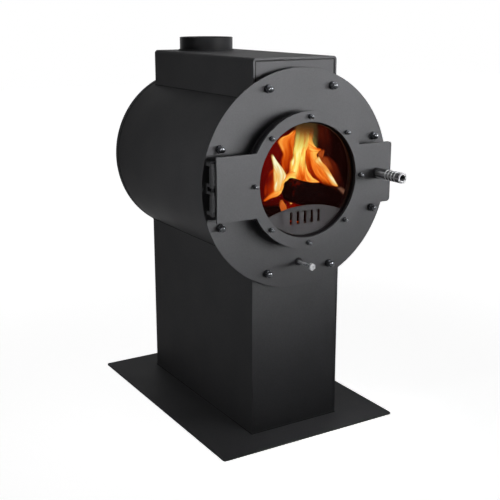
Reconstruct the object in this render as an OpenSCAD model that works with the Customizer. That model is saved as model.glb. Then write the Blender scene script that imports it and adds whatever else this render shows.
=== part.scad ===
// Horizontal-barrel tent wood stove on a box pedestal, with a round glazed door.
// Frame: origin at the centre of the base plate's underside, +Z up, +Y to the rear.
// The door, its hinge and its handle face -Y. Lengths are in millimetres.

/* [Base plate] */
// Width of the floor plate
base_w = 408; // [340:1:480]
// Length of the floor plate, front to rear
base_l = 570; // [520:1:680]
// Thickness of the floor plate
base_t = 4; // [3:0.5:8]
// Radius of the floor plate's corners
base_corner_r = 5; // [2:0.5:20]
// How far the floor plate reaches ahead of the front flange
base_front = 59; // [40:1:90]

/* [Pedestal] */
// Width of the pedestal
pedestal_w = 204; // [170:1:240]
// Distance from the barrel's rear face forward to the pedestal's rear wall
pedestal_inset = 23; // [20:1:80]
// Sheet thickness of the pedestal
pedestal_t = 3; // [2:0.5:5]
// Outer radius of the pedestal's folded rear corners
pedestal_bend_r = 6; // [6:0.5:14]
// How far the front panels sit back from the edges of the folded sheets
panel_recess = 0.8; // [0.5:0.1:2]
// Diameter of the air inlet in the pedestal's rear wall
air_inlet_d = 60; // [40:1:90]
// Height of the air inlet's centre above the floor
air_inlet_h = 80; // [60:1:140]

/* [Barrel] */
// Height of the barrel's axis above the floor
axis_h = 514; // [460:1:600]
// Outer diameter of the barrel
barrel_d = 362; // [350:1:400]
// Wall thickness of the barrel
barrel_t = 4; // [3:0.5:6]
// Length of the barrel with its rear cap
barrel_l = 465; // [450:1:560]
// Outer radius of the rear cap's rounded edge
cap_corner_r = 12; // [8:1:20]
// Thickness of the ring welded round the barrel's mouth
ring_t = 4; // [3:0.5:6]
// Thickness of the gasket between the ring and the front flange
gasket_t = 2; // [1:0.5:4]

/* [Front flange] */
// Thickness of the front flange
flange_t = 4; // [3:0.5:8]
// How far the front flange reaches past the barrel's ring
flange_lip = 10.5; // [6:0.5:20]
// Number of studs round the flange
stud_count = 8; // [8:4:12]
// Diameter of the flange studs
stud_d = 8; // [6:1:10]
// Distance from the barrel's outside to the stud circle
stud_inset = 9; // [8:0.5:14]
// Distance from the stud circle to the ring's outer edge
ring_edge = 12; // [9:0.5:16]
// Diameter of the flange washers
washer_d = 16; // [14:0.5:20]
// Thickness of the flange washers
washer_t = 1.6; // [1:0.1:2.5]
// Width across the flats of the flange cap nuts
cap_nut_af = 13; // [12:0.5:17]
// Height of the flange cap nuts
cap_nut_h = 15; // [12:0.5:18]

/* [Top box] */
// Width of the top box
box_w = 188; // [160:1:220]
// Distance from the barrel's rear face forward to the top box's rear end
box_inset = 41; // [25:1:80]
// Height of the top box's cooking surface above the barrel
box_rise = 49; // [40:1:200]
// Sheet thickness of the top box
box_t = 4; // [3:0.5:6]
// Outer radius of the top box's folded edges
box_bend_r = 7; // [7:0.5:14]
// Distance from the flange's front face to the front of the top box
box_set_back = 16; // [14:1:40]

/* [Flue] */
// Outer diameter of the flue spigot
flue_d = 115; // [100:1:130]
// Wall thickness of the flue spigot
flue_t = 2; // [1.5:0.5:4]
// Height of the flue spigot above the cooking surface
flue_h = 28; // [20:1:60]
// Distance from the spigot forward of the top box's rear end
flue_edge = 6.5; // [5.5:0.5:60]

/* [Firebox] */
// Height of the baffle plate's underside above the barrel's axis
baffle_h = 126; // [120:1:135]
// Length of the baffle plate
baffle_l = 290; // [200:1:340]
// Thickness of the plates inside the firebox
plate_t = 3; // [2:0.5:5]
// Length of the smoke port between the barrel and the top box
smoke_port_l = 100; // [60:1:140]
// Width of the smoke port
smoke_port_w = 130; // [80:1:150]
// Depth of the grate's top below the barrel's axis
grate_drop = 124; // [118:1:128]
// Thickness of the grate
grate_t = 6; // [4:0.5:10]
// Length of the grate
grate_l = 370; // [300:1:400]
// Width of one slot in the grate
grate_slot_w = 10; // [6:0.5:12]
// Width of the bar left between two grate slots
grate_bar_w = 12; // [8:0.5:18]

/* [Air control] */
// Depth of the air rod's axis below the barrel's axis
rod_drop = 162; // [159:0.5:163]
// Diameter of the air rod
rod_d = 6; // [5:0.5:7]
// Length of rod that stands out of the flange at rest
rod_reach = 43; // [40:1:60]
// Width across the flats of the rod's hexagon head
rod_head_af = 13; // [10:0.5:17]
// Thickness of the rod's hexagon head
rod_head_t = 6; // [4:0.5:8]
// Travel of the air rod each way from rest
rod_travel = 30; // [20:1:30]
// Width of the air port under the damper
air_port_w = 48; // [30:1:52]
// Length of the air port under the damper
air_port_l = 70; // [50:1:75]

/* [Door] */
// Diameter of the window in the door plate
window_d = 220; // [200:1:228]
// Width of the door plate's round rim
door_rim_w = 21; // [20:0.5:24]
// Thickness of the door plate
door_t = 5; // [4:0.5:8]
// Distance from the flange to the door plate's front face
door_reach = 33; // [32:0.5:44]
// Height of the door's centre above the barrel's axis
door_rise = 4; // [0:1:8]
// Height of the two side tabs
tab_h = 120; // [110:1:122]
// Distance from the flange's rim to the end of the handle tab
tab_inset = 15.5; // [12:0.5:24]
// Corner radius of the handle tab
tab_corner_r = 7; // [3:0.5:14]
// Number of screws round the door
door_stud_count = 8; // [6:2:12]
// Diameter of the door screws
door_stud_d = 5; // [4:0.5:6]
// Width across the flats of the door cap nuts
door_nut_af = 8; // [7:0.5:9]
// Height of the door cap nuts
door_nut_h = 10; // [9:0.5:12]
// Thickness of the glass
glass_t = 4; // [3:0.5:5]
// How far the glass reaches past the window's edge
glass_lap = 5.5; // [4:0.5:6]
// Thickness of the flat seal in front of the glass
glass_seal_t = 3; // [2:0.5:4]
// Height of the log guard at its middle, above the window's lowest point
guard_h = 60; // [48:1:70]
// Radius of the log guard's arched top edge
guard_arch_r = 236; // [160:1:400]
// Number of slots in the log guard
guard_slots = 5; // [3:1:7]

/* [Collar] */
// Wall thickness of the collar round the mouth
collar_t = 4; // [3:0.5:5]
// How far the collar stands out of the flange
collar_reach = 10; // [8:0.5:11]
// Width of the rope seal on the door
rope_w = 11.6; // [9:0.2:12]

/* [Hinge] */
// Distance from the flange's rim to the hinge axis
hinge_inset = 12.5; // [10:0.5:16]
// Diameter of the hinge pin
hinge_pin_d = 8; // [6:0.5:9]
// Outer diameter of the hinge sleeves
hinge_sleeve_d = 14; // [13:0.5:16]
// Length of each hinge sleeve
hinge_sleeve_l = 30.6; // [24:0.2:34]
// Height of the U-shaped middle bracket
hinge_mid_h = 19; // [16:1:24]
// Thickness of each hinge lug
hinge_lug_t = 7; // [5:0.5:9]

/* [Latch] */
// Distance from the flange's rim to the handle's axis
handle_inset = 47.5; // [44:0.5:50]
// Outer diameter of the handle's grip
grip_d = 21; // [18:0.5:28]
// Diameter of the hollow in the grip's end
grip_bore_d = 12; // [11.5:0.5:14]
// Distance from the door plate to the end of the grip
grip_reach = 74; // [70:1:110]
// Diameter of the handle's spindle
spindle_d = 10; // [8:0.5:11]
// Radius from the spindle's axis to the tip of the latch cam
cam_reach = 22; // [20:0.5:23]
// Thickness of the latch cam
cam_t = 4; // [3:0.5:5]
// Thickness of the latch keeper's sheet
keeper_t = 3.5; // [2:0.5:4]

/* [Hidden] */
$fn = 128;

// Colours
paint = [0.23, 0.23, 0.24];
bare_steel = [0.36, 0.35, 0.34];
stainless = [0.78, 0.78, 0.79];
rope_black = [0.13, 0.13, 0.13];
glass_tint = [0.25, 0.22, 0.20, 0.5];

// Named clearances
weld_gap = 0.1;      // between two welded pieces, radially
run_gap = 0.05;      // a shaft in its running bore, radially
bolt_gap = 0.5;      // a stud in a plain clearance hole, radially
seat_gap = 0.3;      // between two bodies that close on each other
slide_gap = 0.4;     // round the sliding damper plate
panel_gap = 0.3;     // round a panel set into a folded sheet
ring_gap = 1;        // between the barrel's ring and the pedestal
flue_foot_relief = 0.7; // the spigot's foot turned down to pass the top sheet, radially
over = 1;            // how far a cutter runs past what it cuts

// Stations along the barrel, measured from the flange's front face
flange_y = base_front - base_l / 2;
ring_y = flange_t + gasket_t;
ring_rear_y = ring_y + ring_t;
barrel_rear_y = ring_y + barrel_l;
cap_l = 2 * cap_corner_r;
cap_y = barrel_rear_y - cap_l;
box_rear_y = barrel_rear_y - box_inset;
flue_y = box_rear_y - flue_edge - flue_d / 2;
pedestal_rear_y = barrel_rear_y - pedestal_inset;
pedestal_l = pedestal_rear_y - ring_y;

// Radii about the barrel's axis
barrel_r = barrel_d / 2;
bore_r = barrel_r - barrel_t;
stud_circle_r = barrel_r + stud_inset;
ring_r = stud_circle_r + ring_edge;
flange_r = ring_r + flange_lip;
stud_angle = 180 / stud_count;
box_top_h = axis_h + barrel_r + box_rise;

// Door, from the window outwards
glass_play = 0.8;
retainer_edge = 4;
retainer_lip = 3;
collar_set_out = 12;
window_r = window_d / 2;
door_r = window_r + door_rim_w;
door_stud_circle_r = window_r + door_rim_w / 2;
glass_r = window_r + glass_lap;
retainer_bore_r = glass_r + glass_play;
retainer_r = door_r - retainer_edge;
collar_r = window_r + collar_set_out;
rope_r = collar_r - collar_t / 2;
retainer_lip_r = window_r - retainer_lip;
channel_lip_t = 1.8;
channel_lip_h = 5;
door_front_y = -door_reach;
door_rear_y = door_front_y + door_t;
glass_y = door_rear_y + glass_seal_t;
retainer_y = glass_y + glass_t;
retainer_rear_y = retainer_y + plate_t;
door_washer_t = 1;
guard_slot_w = 6;
guard_slot_pitch = 16;
guard_slot_drop = 10;
door_washer_d = door_nut_af + 2;

// Hinge
hinge_x = hinge_inset - flange_r;
hinge_r = hinge_sleeve_d / 2;
hinge_y = door_rear_y + hinge_r;
hinge_lug_r = hinge_r - 0.6;
hinge_lug_arm_x = -3;
hinge_play = 0.4;
hinge_sleeve_z = hinge_mid_h / 2 + hinge_play;
hinge_lug_z = hinge_sleeve_z + hinge_sleeve_l + hinge_play;
hinge_leaf_w = 10;
hinge_pin_head_r = hinge_pin_d / 2 + 1.5;
hinge_pin_head_t = 3;
hinge_web_t = 4;

// Latch
handle_x = flange_r - handle_inset;
tab_end_x = flange_r - tab_inset;
handle_collar_t = 3;
grip_y = door_front_y - handle_collar_t - seat_gap;
grip_end_y = door_front_y - grip_reach;
grip_socket_l = 24;
groove_count = 4;
groove_pitch = 9;
groove_w = 3;
groove_depth = 1.2;
cam_set_back = 8.5;
cam_hub_wall = 4;
cam_y = door_rear_y + cam_set_back;
cam_rear_y = cam_y + cam_t;
cam_hub_r = spindle_d / 2 + cam_hub_wall;
cam_w = 10;
cam_nut_af = spindle_d + 6;
cam_nut_t = 5;
keeper_clear = 3;
keeper_h = 24;
keeper_leg_x = handle_x + cam_reach + keeper_clear;
keeper_front_y = cam_y - 0.5 - keeper_t;
keeper_lip_l = 14;

// Air control
rod_z = -rod_drop;
rod_thread_l = 2;
shelf_drop = 7;
shelf_play = 1;
shelf_top_z = rod_z - shelf_drop;
shelf_bottom_z = shelf_top_z - plate_t;
shelf_w = 2 * sqrt(bore_r * bore_r - shelf_bottom_z * shelf_bottom_z) - shelf_play;
shelf_y = 40;
shelf_l = 160;
air_port_y = 80;
damper_t = 2.5;
damper_z = shelf_top_z + seat_gap;
damper_lap = 5;
damper_w = air_port_w + 2 * damper_lap;
damper_l = air_port_l + 2 * damper_lap;
damper_rest_y = air_port_y - damper_lap - rod_travel;
damper_tab_w = 20;
guide_lap = 3;
guide_w = 8;
guide_lip_t = 2;
bush_wall = 3;
bush_r = rod_d / 2 + bush_wall;
bush_head_t = 2;
rod_nut_af = rod_d + 4;
rod_nut_t = 4;

// Firebox
baffle_set_back = 8;
baffle_front_y = ring_y + baffle_set_back;
ledge_w = 16;
grate_front_y = 30;
grate_side_gap = 6;
grate_rail_w = 14;
grate_margin = 20;
grate_rows = 3;
smoke_port_set_back = 24;
smoke_port_y = box_set_back + smoke_port_set_back;

// Chord of the barrel's bore at height z, as a half width
function half_chord(z) = sqrt(bore_r * bore_r - z * z);

// ---- Shared shapes ----

module at_axis() translate([0, flange_y, axis_h]) children();

module at_door() translate([0, flange_y, axis_h + door_rise]) children();

// Cylinder along +Y between two stations
module rod_y(r, y0, y1) translate([0, y0, 0]) rotate([-90, 0, 0]) cylinder(r = r, h = y1 - y0);

// Tube along +Y between two stations
module tube_y(r_out, r_in, y0, y1) difference() {
    rod_y(r_out, y0, y1);
    rod_y(r_in, y0 - over, y1 + over);
}

// Ring of copies about the Y axis
module ring_of(count, r, first) for (i = [0 : count - 1])
    let (a = first + i * 360 / count) translate([r * cos(a), 0, r * sin(a)]) children();

// Block between two corners
module block(a, b) translate(a) cube(b - a);

// Flat shape drawn in X and Z, given thickness along Y between two stations
module plate_y(y0, y1) translate([0, y1, 0]) rotate([90, 0, 0]) linear_extrude(y1 - y0) children();

module rounded_rect(w, l, r) union() {
    square([w - 2 * r, l], center = true);
    square([w, l - 2 * r], center = true);
    for (x = [-1, 1], y = [-1, 1]) translate([x * (w / 2 - r), y * (l / 2 - r)]) circle(r = r);
}

// Hexagon prism along -Y, from its seat at y = 0
module hex_y(af, t) rotate([90, 0, 0]) cylinder(r = af / 2 / cos(30), h = t, $fn = 6);

// Domed cap nut along -Y, from its seat at y = 0, with its blind thread bore
module cap_nut(af, h, bore) {
    hex_h = h * 0.45;
    dome_r = af * 0.47;
    difference() {
        union() {
            hex_y(af, hex_h);
            rod_y(dome_r, dome_r - h, 0);
            intersection() {
                translate([0, dome_r - h, 0]) sphere(r = dome_r);
                rod_y(dome_r + over, -h, dome_r - h);
            }
        }
        rod_y(bore, -h * 0.62, over);
    }
}

module stud_holes(r, y0, y1) ring_of(stud_count, stud_circle_r, stud_angle) rod_y(r, y0, y1);

module door_stud_holes(r, y0, y1) ring_of(door_stud_count, door_stud_circle_r, 0) rod_y(r, y0, y1);

// Space that the barrel and its ring take out of the sheets welded to them
module barrel_space() at_axis() union() {
    rod_y(barrel_r + weld_gap, -over, barrel_rear_y + over);
    rod_y(ring_r + ring_gap, -over, ring_rear_y + 0.5);
}

// ---- Stand ----

module base_plate() color(paint) linear_extrude(base_t) rounded_rect(base_w, base_l, base_corner_r);

// Side walls and rear wall, folded from one sheet
module pedestal_wrap() color(paint) difference() {
    translate([0, flange_y + ring_y, base_t]) linear_extrude(axis_h - barrel_r / 2) difference() {
        wrap_outline(pedestal_w, pedestal_l, pedestal_bend_r);
        wrap_outline(pedestal_w - 2 * pedestal_t, pedestal_l - pedestal_t, pedestal_bend_r - pedestal_t);
        translate([-pedestal_w, -over]) square([2 * pedestal_w, over]);
    }
    barrel_space();
    translate([0, flange_y, air_inlet_h])
        rod_y(air_inlet_d / 2, pedestal_rear_y - pedestal_t - over, pedestal_rear_y + over);
}

// Plan of a folded sheet: square in front, at y = 0, and rounded at its rear corners
module wrap_outline(w, l, r) union() {
    translate([-w / 2, -over]) square([w, l - r + over]);
    translate([r - w / 2, 0]) square([w - 2 * r, l]);
    for (x = [-1, 1]) translate([x * (w / 2 - r), l - r]) circle(r = r);
}

module pedestal_front_panel() color(paint) difference() {
    block([-pedestal_w / 2 + pedestal_t + panel_gap, flange_y + ring_y + panel_recess, base_t],
        [pedestal_w / 2 - pedestal_t - panel_gap, flange_y + ring_y + panel_recess + pedestal_t,
            axis_h - barrel_r / 2]);
    barrel_space();
}

// ---- Barrel ----

module barrel() color(paint) difference() {
    at_axis() tube_y(barrel_r, bore_r, ring_y, cap_y);
    at_axis() block([-smoke_port_w / 2, smoke_port_y, 0],
        [smoke_port_w / 2, smoke_port_y + smoke_port_l, barrel_r + over]);
    at_axis() block([-air_port_w / 2, air_port_y, -barrel_r - over],
        [air_port_w / 2, air_port_y + air_port_l, 0]);
}

module barrel_ring() color(paint) at_axis() difference() {
    tube_y(ring_r, barrel_r + weld_gap, ring_y, ring_rear_y);
    stud_holes(stud_d / 2 + run_gap, ring_y - over, ring_rear_y + over);
}

// Flat disc with a rounded edge and a short skirt that meets the barrel
module rear_cap() color(paint) at_axis() translate([0, cap_y, 0]) rotate([-90, 0, 0]) difference() {
    cap_solid(barrel_r, cap_corner_r, cap_l);
    translate([0, 0, -over]) cap_solid(bore_r, cap_corner_r - barrel_t, cap_l - barrel_t + over);
}

// Disc of radius r and height h whose upper edge is rounded by edge_r
module cap_solid(r, edge_r, h) rotate_extrude() union() {
    square([r - edge_r, h]);
    square([r, h - edge_r]);
    translate([r - edge_r, h - edge_r]) circle(r = edge_r);
}

module flange_gasket() color(rope_black) at_axis() difference() {
    tube_y(ring_r, bore_r, flange_t, ring_y);
    stud_holes(stud_d / 2 + bolt_gap, flange_t - over, ring_y + over);
}

// ---- Front flange and its fasteners ----

module front_flange() color(paint) difference() {
    at_axis() rod_y(flange_r, 0, flange_t);
    at_door() rod_y(collar_r + weld_gap, -over, flange_t + over);
    at_axis() stud_holes(stud_d / 2 + bolt_gap, -over, flange_t + over);
    at_axis() translate([0, 0, rod_z]) rod_y(bush_r + weld_gap, -over, flange_t + over);
}

module flange_studs() color(stainless) at_axis()
    stud_holes(stud_d / 2, -washer_t - cap_nut_h * 0.55, ring_rear_y);

module flange_washers() color(stainless) at_axis() ring_of(stud_count, stud_circle_r, stud_angle)
    tube_y(washer_d / 2, stud_d / 2 + bolt_gap, -washer_t, 0);

module flange_cap_nuts() color(stainless) at_axis() ring_of(stud_count, stud_circle_r, stud_angle)
    translate([0, -washer_t, 0]) cap_nut(cap_nut_af, cap_nut_h, stud_d / 2 + run_gap);

// ---- Top box and flue ----

// Side walls and cooking surface, folded from one sheet
module box_wrap() color(paint) difference() {
    translate([0, flange_y, box_top_h]) plate_y(box_set_back, box_rear_y) mirror([0, 1]) difference() {
        lid_outline(box_w, box_bend_r);
        translate([0, box_t]) lid_outline(box_w - 2 * box_t, box_bend_r - box_t);
    }
    barrel_space();
    translate([0, flange_y + flue_y, box_top_h - box_t - over])
        cylinder(r = flue_d / 2 + weld_gap, h = box_t + 2 * over);
}

// Section of the folded lid, drawn downwards from y = 0, down to the barrel's axis
module lid_outline(w, r) union() {
    translate([-w / 2, r]) square([w, box_top_h - axis_h - barrel_r / 2]);
    translate([r - w / 2, 0]) square([w - 2 * r, 2 * r]);
    for (x = [-1, 1]) translate([x * (w / 2 - r), r]) circle(r = r);
}

// Panel that closes one end of the folded box, between two stations
module box_end(y0) color(paint) difference() {
    block([-box_w / 2 + box_t + panel_gap, flange_y + y0, axis_h + barrel_r / 2],
        [box_w / 2 - box_t - panel_gap, flange_y + y0 + plate_t, box_top_h - box_t - panel_gap]);
    barrel_space();
}

module box_front_panel() box_end(box_set_back + panel_recess);

module box_rear_panel() box_end(box_rear_y - panel_recess - plate_t);

// Short tube whose foot, turned down a little, stands in the cooking surface's hole
module flue_spigot() color(paint) translate([0, flange_y + flue_y, box_top_h]) difference() {
    union() {
        cylinder(r = flue_d / 2, h = flue_h);
        translate([0, 0, -box_t]) cylinder(r = flue_d / 2 - flue_foot_relief, h = 2 * box_t);
    }
    translate([0, 0, -box_t - over]) cylinder(r = flue_d / 2 - flue_t, h = box_t + flue_h + 2 * over);
}

// ---- Firebox ----

// Everything inside the barrel's bore
module bore_space() rod_y(bore_r - weld_gap, 0, barrel_rear_y);

module smoke_baffle() color(bare_steel) at_axis() intersection() {
    block([-bore_r, baffle_front_y, baffle_h], [bore_r, baffle_front_y + baffle_l, baffle_h + plate_t]);
    bore_space();
}

module baffle_ledges() color(bare_steel) at_axis() intersection() {
    for (s = [0, 1]) mirror([s, 0, 0])
        block([half_chord(baffle_h) - ledge_w, baffle_front_y, baffle_h - plate_t],
            [bore_r, baffle_front_y + baffle_l, baffle_h]);
    bore_space();
}

module grate() color(bare_steel) at_axis() difference() {
    grate_w = 2 * (half_chord(grate_drop + grate_t) - grate_side_gap);
    pitch = grate_slot_w + grate_bar_w;
    slots = floor((grate_w - 2 * grate_margin + grate_bar_w) / pitch);
    slot_l = (grate_l - (grate_rows + 1) * grate_margin) / grate_rows;
    block([-grate_w / 2, grate_front_y, -grate_drop - grate_t],
        [grate_w / 2, grate_front_y + grate_l, -grate_drop]);
    for (i = [0 : slots - 1], j = [0 : grate_rows - 1])
        translate([(i - (slots - 1) / 2) * pitch - grate_slot_w / 2,
                grate_front_y + grate_margin + j * (slot_l + grate_margin),
                -grate_drop - grate_t - over])
            cube([grate_slot_w, slot_l, grate_t + 2 * over]);
}

module grate_rails() color(bare_steel) at_axis() intersection() {
    for (s = [0, 1]) mirror([s, 0, 0])
        block([half_chord(grate_drop + grate_t) - grate_rail_w - grate_side_gap, grate_front_y,
                -grate_drop - grate_t - plate_t],
            [bore_r, grate_front_y + grate_l, -grate_drop - grate_t]);
    bore_space();
}

// ---- Air control ----

// Flat seat across the barrel's floor, with the port that the damper covers
module air_shelf() color(bare_steel) at_axis() difference() {
    block([-shelf_w / 2, shelf_y, shelf_bottom_z], [shelf_w / 2, shelf_y + shelf_l, shelf_top_z]);
    block([-air_port_w / 2, air_port_y, shelf_bottom_z - over],
        [air_port_w / 2, air_port_y + air_port_l, shelf_top_z + over]);
}

// Two rails that lead the damper plate and hold it down
module damper_guides() color(bare_steel) at_axis() for (s = [0, 1]) mirror([s, 0, 0]) {
    x0 = damper_w / 2 + slide_gap;
    lip_z = damper_z + damper_t + slide_gap;
    union() {
        block([x0, shelf_y, shelf_top_z], [x0 + guide_w, shelf_y + shelf_l, lip_z + guide_lip_t]);
        block([x0 - guide_lap, shelf_y, lip_z], [x0 + guide_w, shelf_y + shelf_l, lip_z + guide_lip_t]);
    }
}

module rod_bush() color(bare_steel) at_axis() translate([0, 0, rod_z]) difference() {
    union() {
        rod_y(bush_r, 0, flange_t + bush_head_t);
        rod_y(bush_r + 2, -bush_head_t, 0);
    }
    rod_y(rod_d / 2 + run_gap, -bush_head_t - over, flange_t + bush_head_t + over);
}

module air_rod() color(stainless) at_axis() translate([0, 0, rod_z])
    rod_y(rod_d / 2, -rod_reach, damper_rest_y + plate_t + rod_thread_l);

module air_rod_head() color(stainless) at_axis() translate([0, -rod_reach, rod_z])
    rotate([0, 30, 0]) hex_y(rod_head_af, rod_head_t);

module rod_lock_nut() color(stainless) at_axis() translate([0, damper_rest_y, rod_z]) difference() {
    rotate([0, 30, 0]) hex_y(rod_nut_af, rod_nut_t);
    rod_y(rod_d / 2 + run_gap, -rod_nut_t - over, over);
}

// Sliding plate with an upright tab that the rod is screwed to
module damper_plate() color(bare_steel) at_axis() difference() {
    union() {
        block([-damper_w / 2, damper_rest_y, damper_z],
            [damper_w / 2, damper_rest_y + damper_l, damper_z + damper_t]);
        block([-damper_tab_w / 2, damper_rest_y, damper_z],
            [damper_tab_w / 2, damper_rest_y + plate_t, rod_z + damper_tab_w / 2]);
    }
    translate([0, 0, rod_z]) rod_y(rod_d / 2 + run_gap, damper_rest_y - over, damper_rest_y + plate_t + over);
}

// ---- Collar and hinge ----

module door_collar() color(paint) at_door() tube_y(collar_r, collar_r - collar_t, -collar_reach, flange_t);

module at_hinge() at_door() translate([hinge_x, hinge_y, 0]) children();

// One flat lug from the flange's face to the hinge pin, between two heights
module hinge_lug(z0, z1) translate([0, 0, z0]) linear_extrude(z1 - z0) difference() {
    union() {
        circle(r = hinge_lug_r);
        translate([hinge_lug_arm_x, 0]) square([hinge_lug_r - hinge_lug_arm_x, -hinge_y]);
    }
    circle(r = hinge_pin_d / 2 + run_gap);
}

module hinge_top_bracket() color(paint) at_hinge() hinge_lug(hinge_lug_z, hinge_lug_z + hinge_lug_t);

module hinge_bottom_bracket() color(paint) at_hinge() hinge_lug(-hinge_lug_z - hinge_lug_t, -hinge_lug_z);

// Two lugs joined by a web at the flange, so that they form a U
module hinge_middle_bracket() color(paint) at_hinge() union() {
    ear_t = hinge_mid_h * 0.3;
    hinge_lug(hinge_mid_h / 2 - ear_t, hinge_mid_h / 2);
    hinge_lug(-hinge_mid_h / 2, ear_t - hinge_mid_h / 2);
    block([hinge_lug_arm_x, -hinge_y - hinge_web_t, -hinge_mid_h / 2],
        [hinge_lug_r, -hinge_y, hinge_mid_h / 2]);
}

module hinge_pin() color(bare_steel) at_hinge() union() {
    translate([0, 0, -hinge_lug_z - hinge_lug_t - 2])
        cylinder(r = hinge_pin_d / 2, h = 2 * (hinge_lug_z + hinge_lug_t) + 2);
    translate([0, 0, hinge_lug_z + hinge_lug_t]) cylinder(r = hinge_pin_head_r, h = hinge_pin_head_t);
}

// Sleeve that turns on the pin, with the leaf that is welded behind the door's tab
module hinge_sleeve(z0) color(paint) at_hinge() translate([0, 0, z0]) difference() {
    union() {
        cylinder(r = hinge_r, h = hinge_sleeve_l);
        block([0.5, -hinge_r, 0], [hinge_leaf_w, 0, hinge_sleeve_l]);
    }
    translate([0, 0, -over]) cylinder(r = hinge_pin_d / 2 + run_gap, h = hinge_sleeve_l + 2 * over);
}

module hinge_upper_sleeve() hinge_sleeve(hinge_sleeve_z);

module hinge_lower_sleeve() hinge_sleeve(-hinge_sleeve_z - hinge_sleeve_l);

// ---- Door ----

// One plate: round rim, square hinge tab and round-cornered handle tab
module door_plate() color(paint) at_door() difference() {
    plate_y(door_front_y, door_rear_y) union() {
        circle(r = door_r);
        translate([hinge_x + 0.5, -tab_h / 2]) square([-hinge_x - 0.5, tab_h]);
        translate([0, -tab_h / 2]) square([tab_end_x - tab_corner_r, tab_h]);
        translate([0, tab_corner_r - tab_h / 2]) square([tab_end_x, tab_h - 2 * tab_corner_r]);
        for (z = [-1, 1]) translate([tab_end_x - tab_corner_r, z * (tab_h / 2 - tab_corner_r)])
            circle(r = tab_corner_r);
    }
    rod_y(window_r, door_front_y - over, door_rear_y + over);
    door_stud_holes(door_stud_d / 2 + bolt_gap / 2, door_front_y - over, door_rear_y + over);
    translate([handle_x, 0, 0]) rod_y(spindle_d / 2 + run_gap, door_front_y - over, door_rear_y + over);
}

module glass_front_seal() color(rope_black) at_door() tube_y(glass_r, window_r + 0.5, door_rear_y, glass_y);

module door_glass() color(glass_tint) at_door() rod_y(glass_r, glass_y, retainer_y);

// Stepped ring that clamps the glass and carries the rope seal's channel
module glass_retainer() color(bare_steel) at_door() difference() {
    union() {
        tube_y(retainer_r, retainer_bore_r, door_rear_y, retainer_rear_y);
        tube_y(retainer_r, retainer_lip_r, retainer_y, retainer_rear_y);
        tube_y(rope_r + rope_w / 2 + channel_lip_t, rope_r + rope_w / 2 + weld_gap,
            retainer_y, retainer_rear_y + channel_lip_h);
        tube_y(rope_r - rope_w / 2 - weld_gap, rope_r - rope_w / 2 - channel_lip_t,
            retainer_y, retainer_rear_y + channel_lip_h);
    }
    door_stud_holes(door_stud_d / 2 + run_gap, door_rear_y - over, retainer_rear_y + over);
}

// Arched plate across the foot of the window, with a row of plain slots
module log_guard() color(paint) at_door() difference() {
    guard_top_z = guard_h - window_r;
    plate_y(retainer_y, retainer_rear_y) intersection() {
        circle(r = retainer_lip_r - weld_gap);
        translate([0, guard_top_z - guard_arch_r]) circle(r = guard_arch_r);
    }
    for (i = [0 : guard_slots - 1])
        translate([(i - (guard_slots - 1) / 2) * guard_slot_pitch, 0, guard_top_z - guard_slot_drop])
            plate_y(retainer_y - over, retainer_rear_y + over) slot(guard_slot_w, guard_h * 0.42);
}

// Round-ended slot that hangs down from z = 0
module slot(w, h) union() {
    translate([-w / 2, w / 2 - h]) square([w, h - w]);
    translate([0, -w / 2]) circle(r = w / 2);
    translate([0, w / 2 - h]) circle(r = w / 2);
}

module door_rope_seal() color(rope_black) at_door() rotate([-90, 0, 0])
    translate([0, 0, retainer_rear_y]) rotate_extrude() union() {
        rope_h = -collar_reach - seat_gap - retainer_rear_y;
        edge_r = 3;
        translate([rope_r - rope_w / 2, 0]) square([rope_w, rope_h - edge_r]);
        translate([rope_r - rope_w / 2 + edge_r, 0]) square([rope_w - 2 * edge_r, rope_h]);
        for (s = [-1, 1]) translate([rope_r + s * (rope_w / 2 - edge_r), rope_h - edge_r]) circle(r = edge_r);
    }

module door_studs() color(stainless) at_door()
    door_stud_holes(door_stud_d / 2, door_front_y - door_washer_t - door_nut_h * 0.55, retainer_rear_y - 0.2);

module door_washers() color(stainless) at_door() ring_of(door_stud_count, door_stud_circle_r, 0)
    tube_y(door_washer_d / 2, door_stud_d / 2 + bolt_gap / 2, door_front_y - door_washer_t, door_front_y);

module door_cap_nuts() color(stainless) at_door() ring_of(door_stud_count, door_stud_circle_r, 0)
    translate([0, door_front_y - door_washer_t, 0]) cap_nut(door_nut_af, door_nut_h, door_stud_d / 2 + run_gap);

// ---- Handle and latch ----

module at_handle() at_door() translate([handle_x, 0, 0]) children();

module handle_collar() color(paint) at_handle()
    tube_y(grip_d / 2 + 1, spindle_d / 2 + bolt_gap, door_front_y - handle_collar_t, door_front_y);

module handle_spindle() color(stainless) at_handle()
    rod_y(spindle_d / 2, grip_y - grip_socket_l, cam_rear_y + cam_nut_t + 1);

// Turned tube with ring grooves in its outer half and an open end
module handle_grip() color(stainless) at_handle() difference() {
    rod_y(grip_d / 2, grip_end_y, grip_y);
    rod_y(spindle_d / 2 + run_gap, grip_y - grip_socket_l, grip_y + over);
    rod_y(grip_bore_d / 2, grip_end_y - over, grip_y - grip_socket_l);
    for (i = [0 : groove_count - 1]) translate([0, grip_end_y + 12 + i * groove_pitch, 0])
        tube_y(grip_d / 2 + over, grip_d / 2 - groove_depth, 0, groove_w);
}

// Cam that points up at rest and turns behind the keeper
module latch_cam() color(bare_steel) at_handle() difference() {
    union() {
        rod_y(cam_hub_r, door_rear_y + seat_gap, cam_rear_y);
        plate_y(cam_y, cam_rear_y) union() {
            translate([-cam_w / 2, 0]) square([cam_w, cam_reach - cam_w / 2]);
            translate([0, cam_reach - cam_w / 2]) circle(r = cam_w / 2);
        }
    }
    rod_y(spindle_d / 2 + run_gap, door_rear_y, cam_rear_y + over);
}

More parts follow.
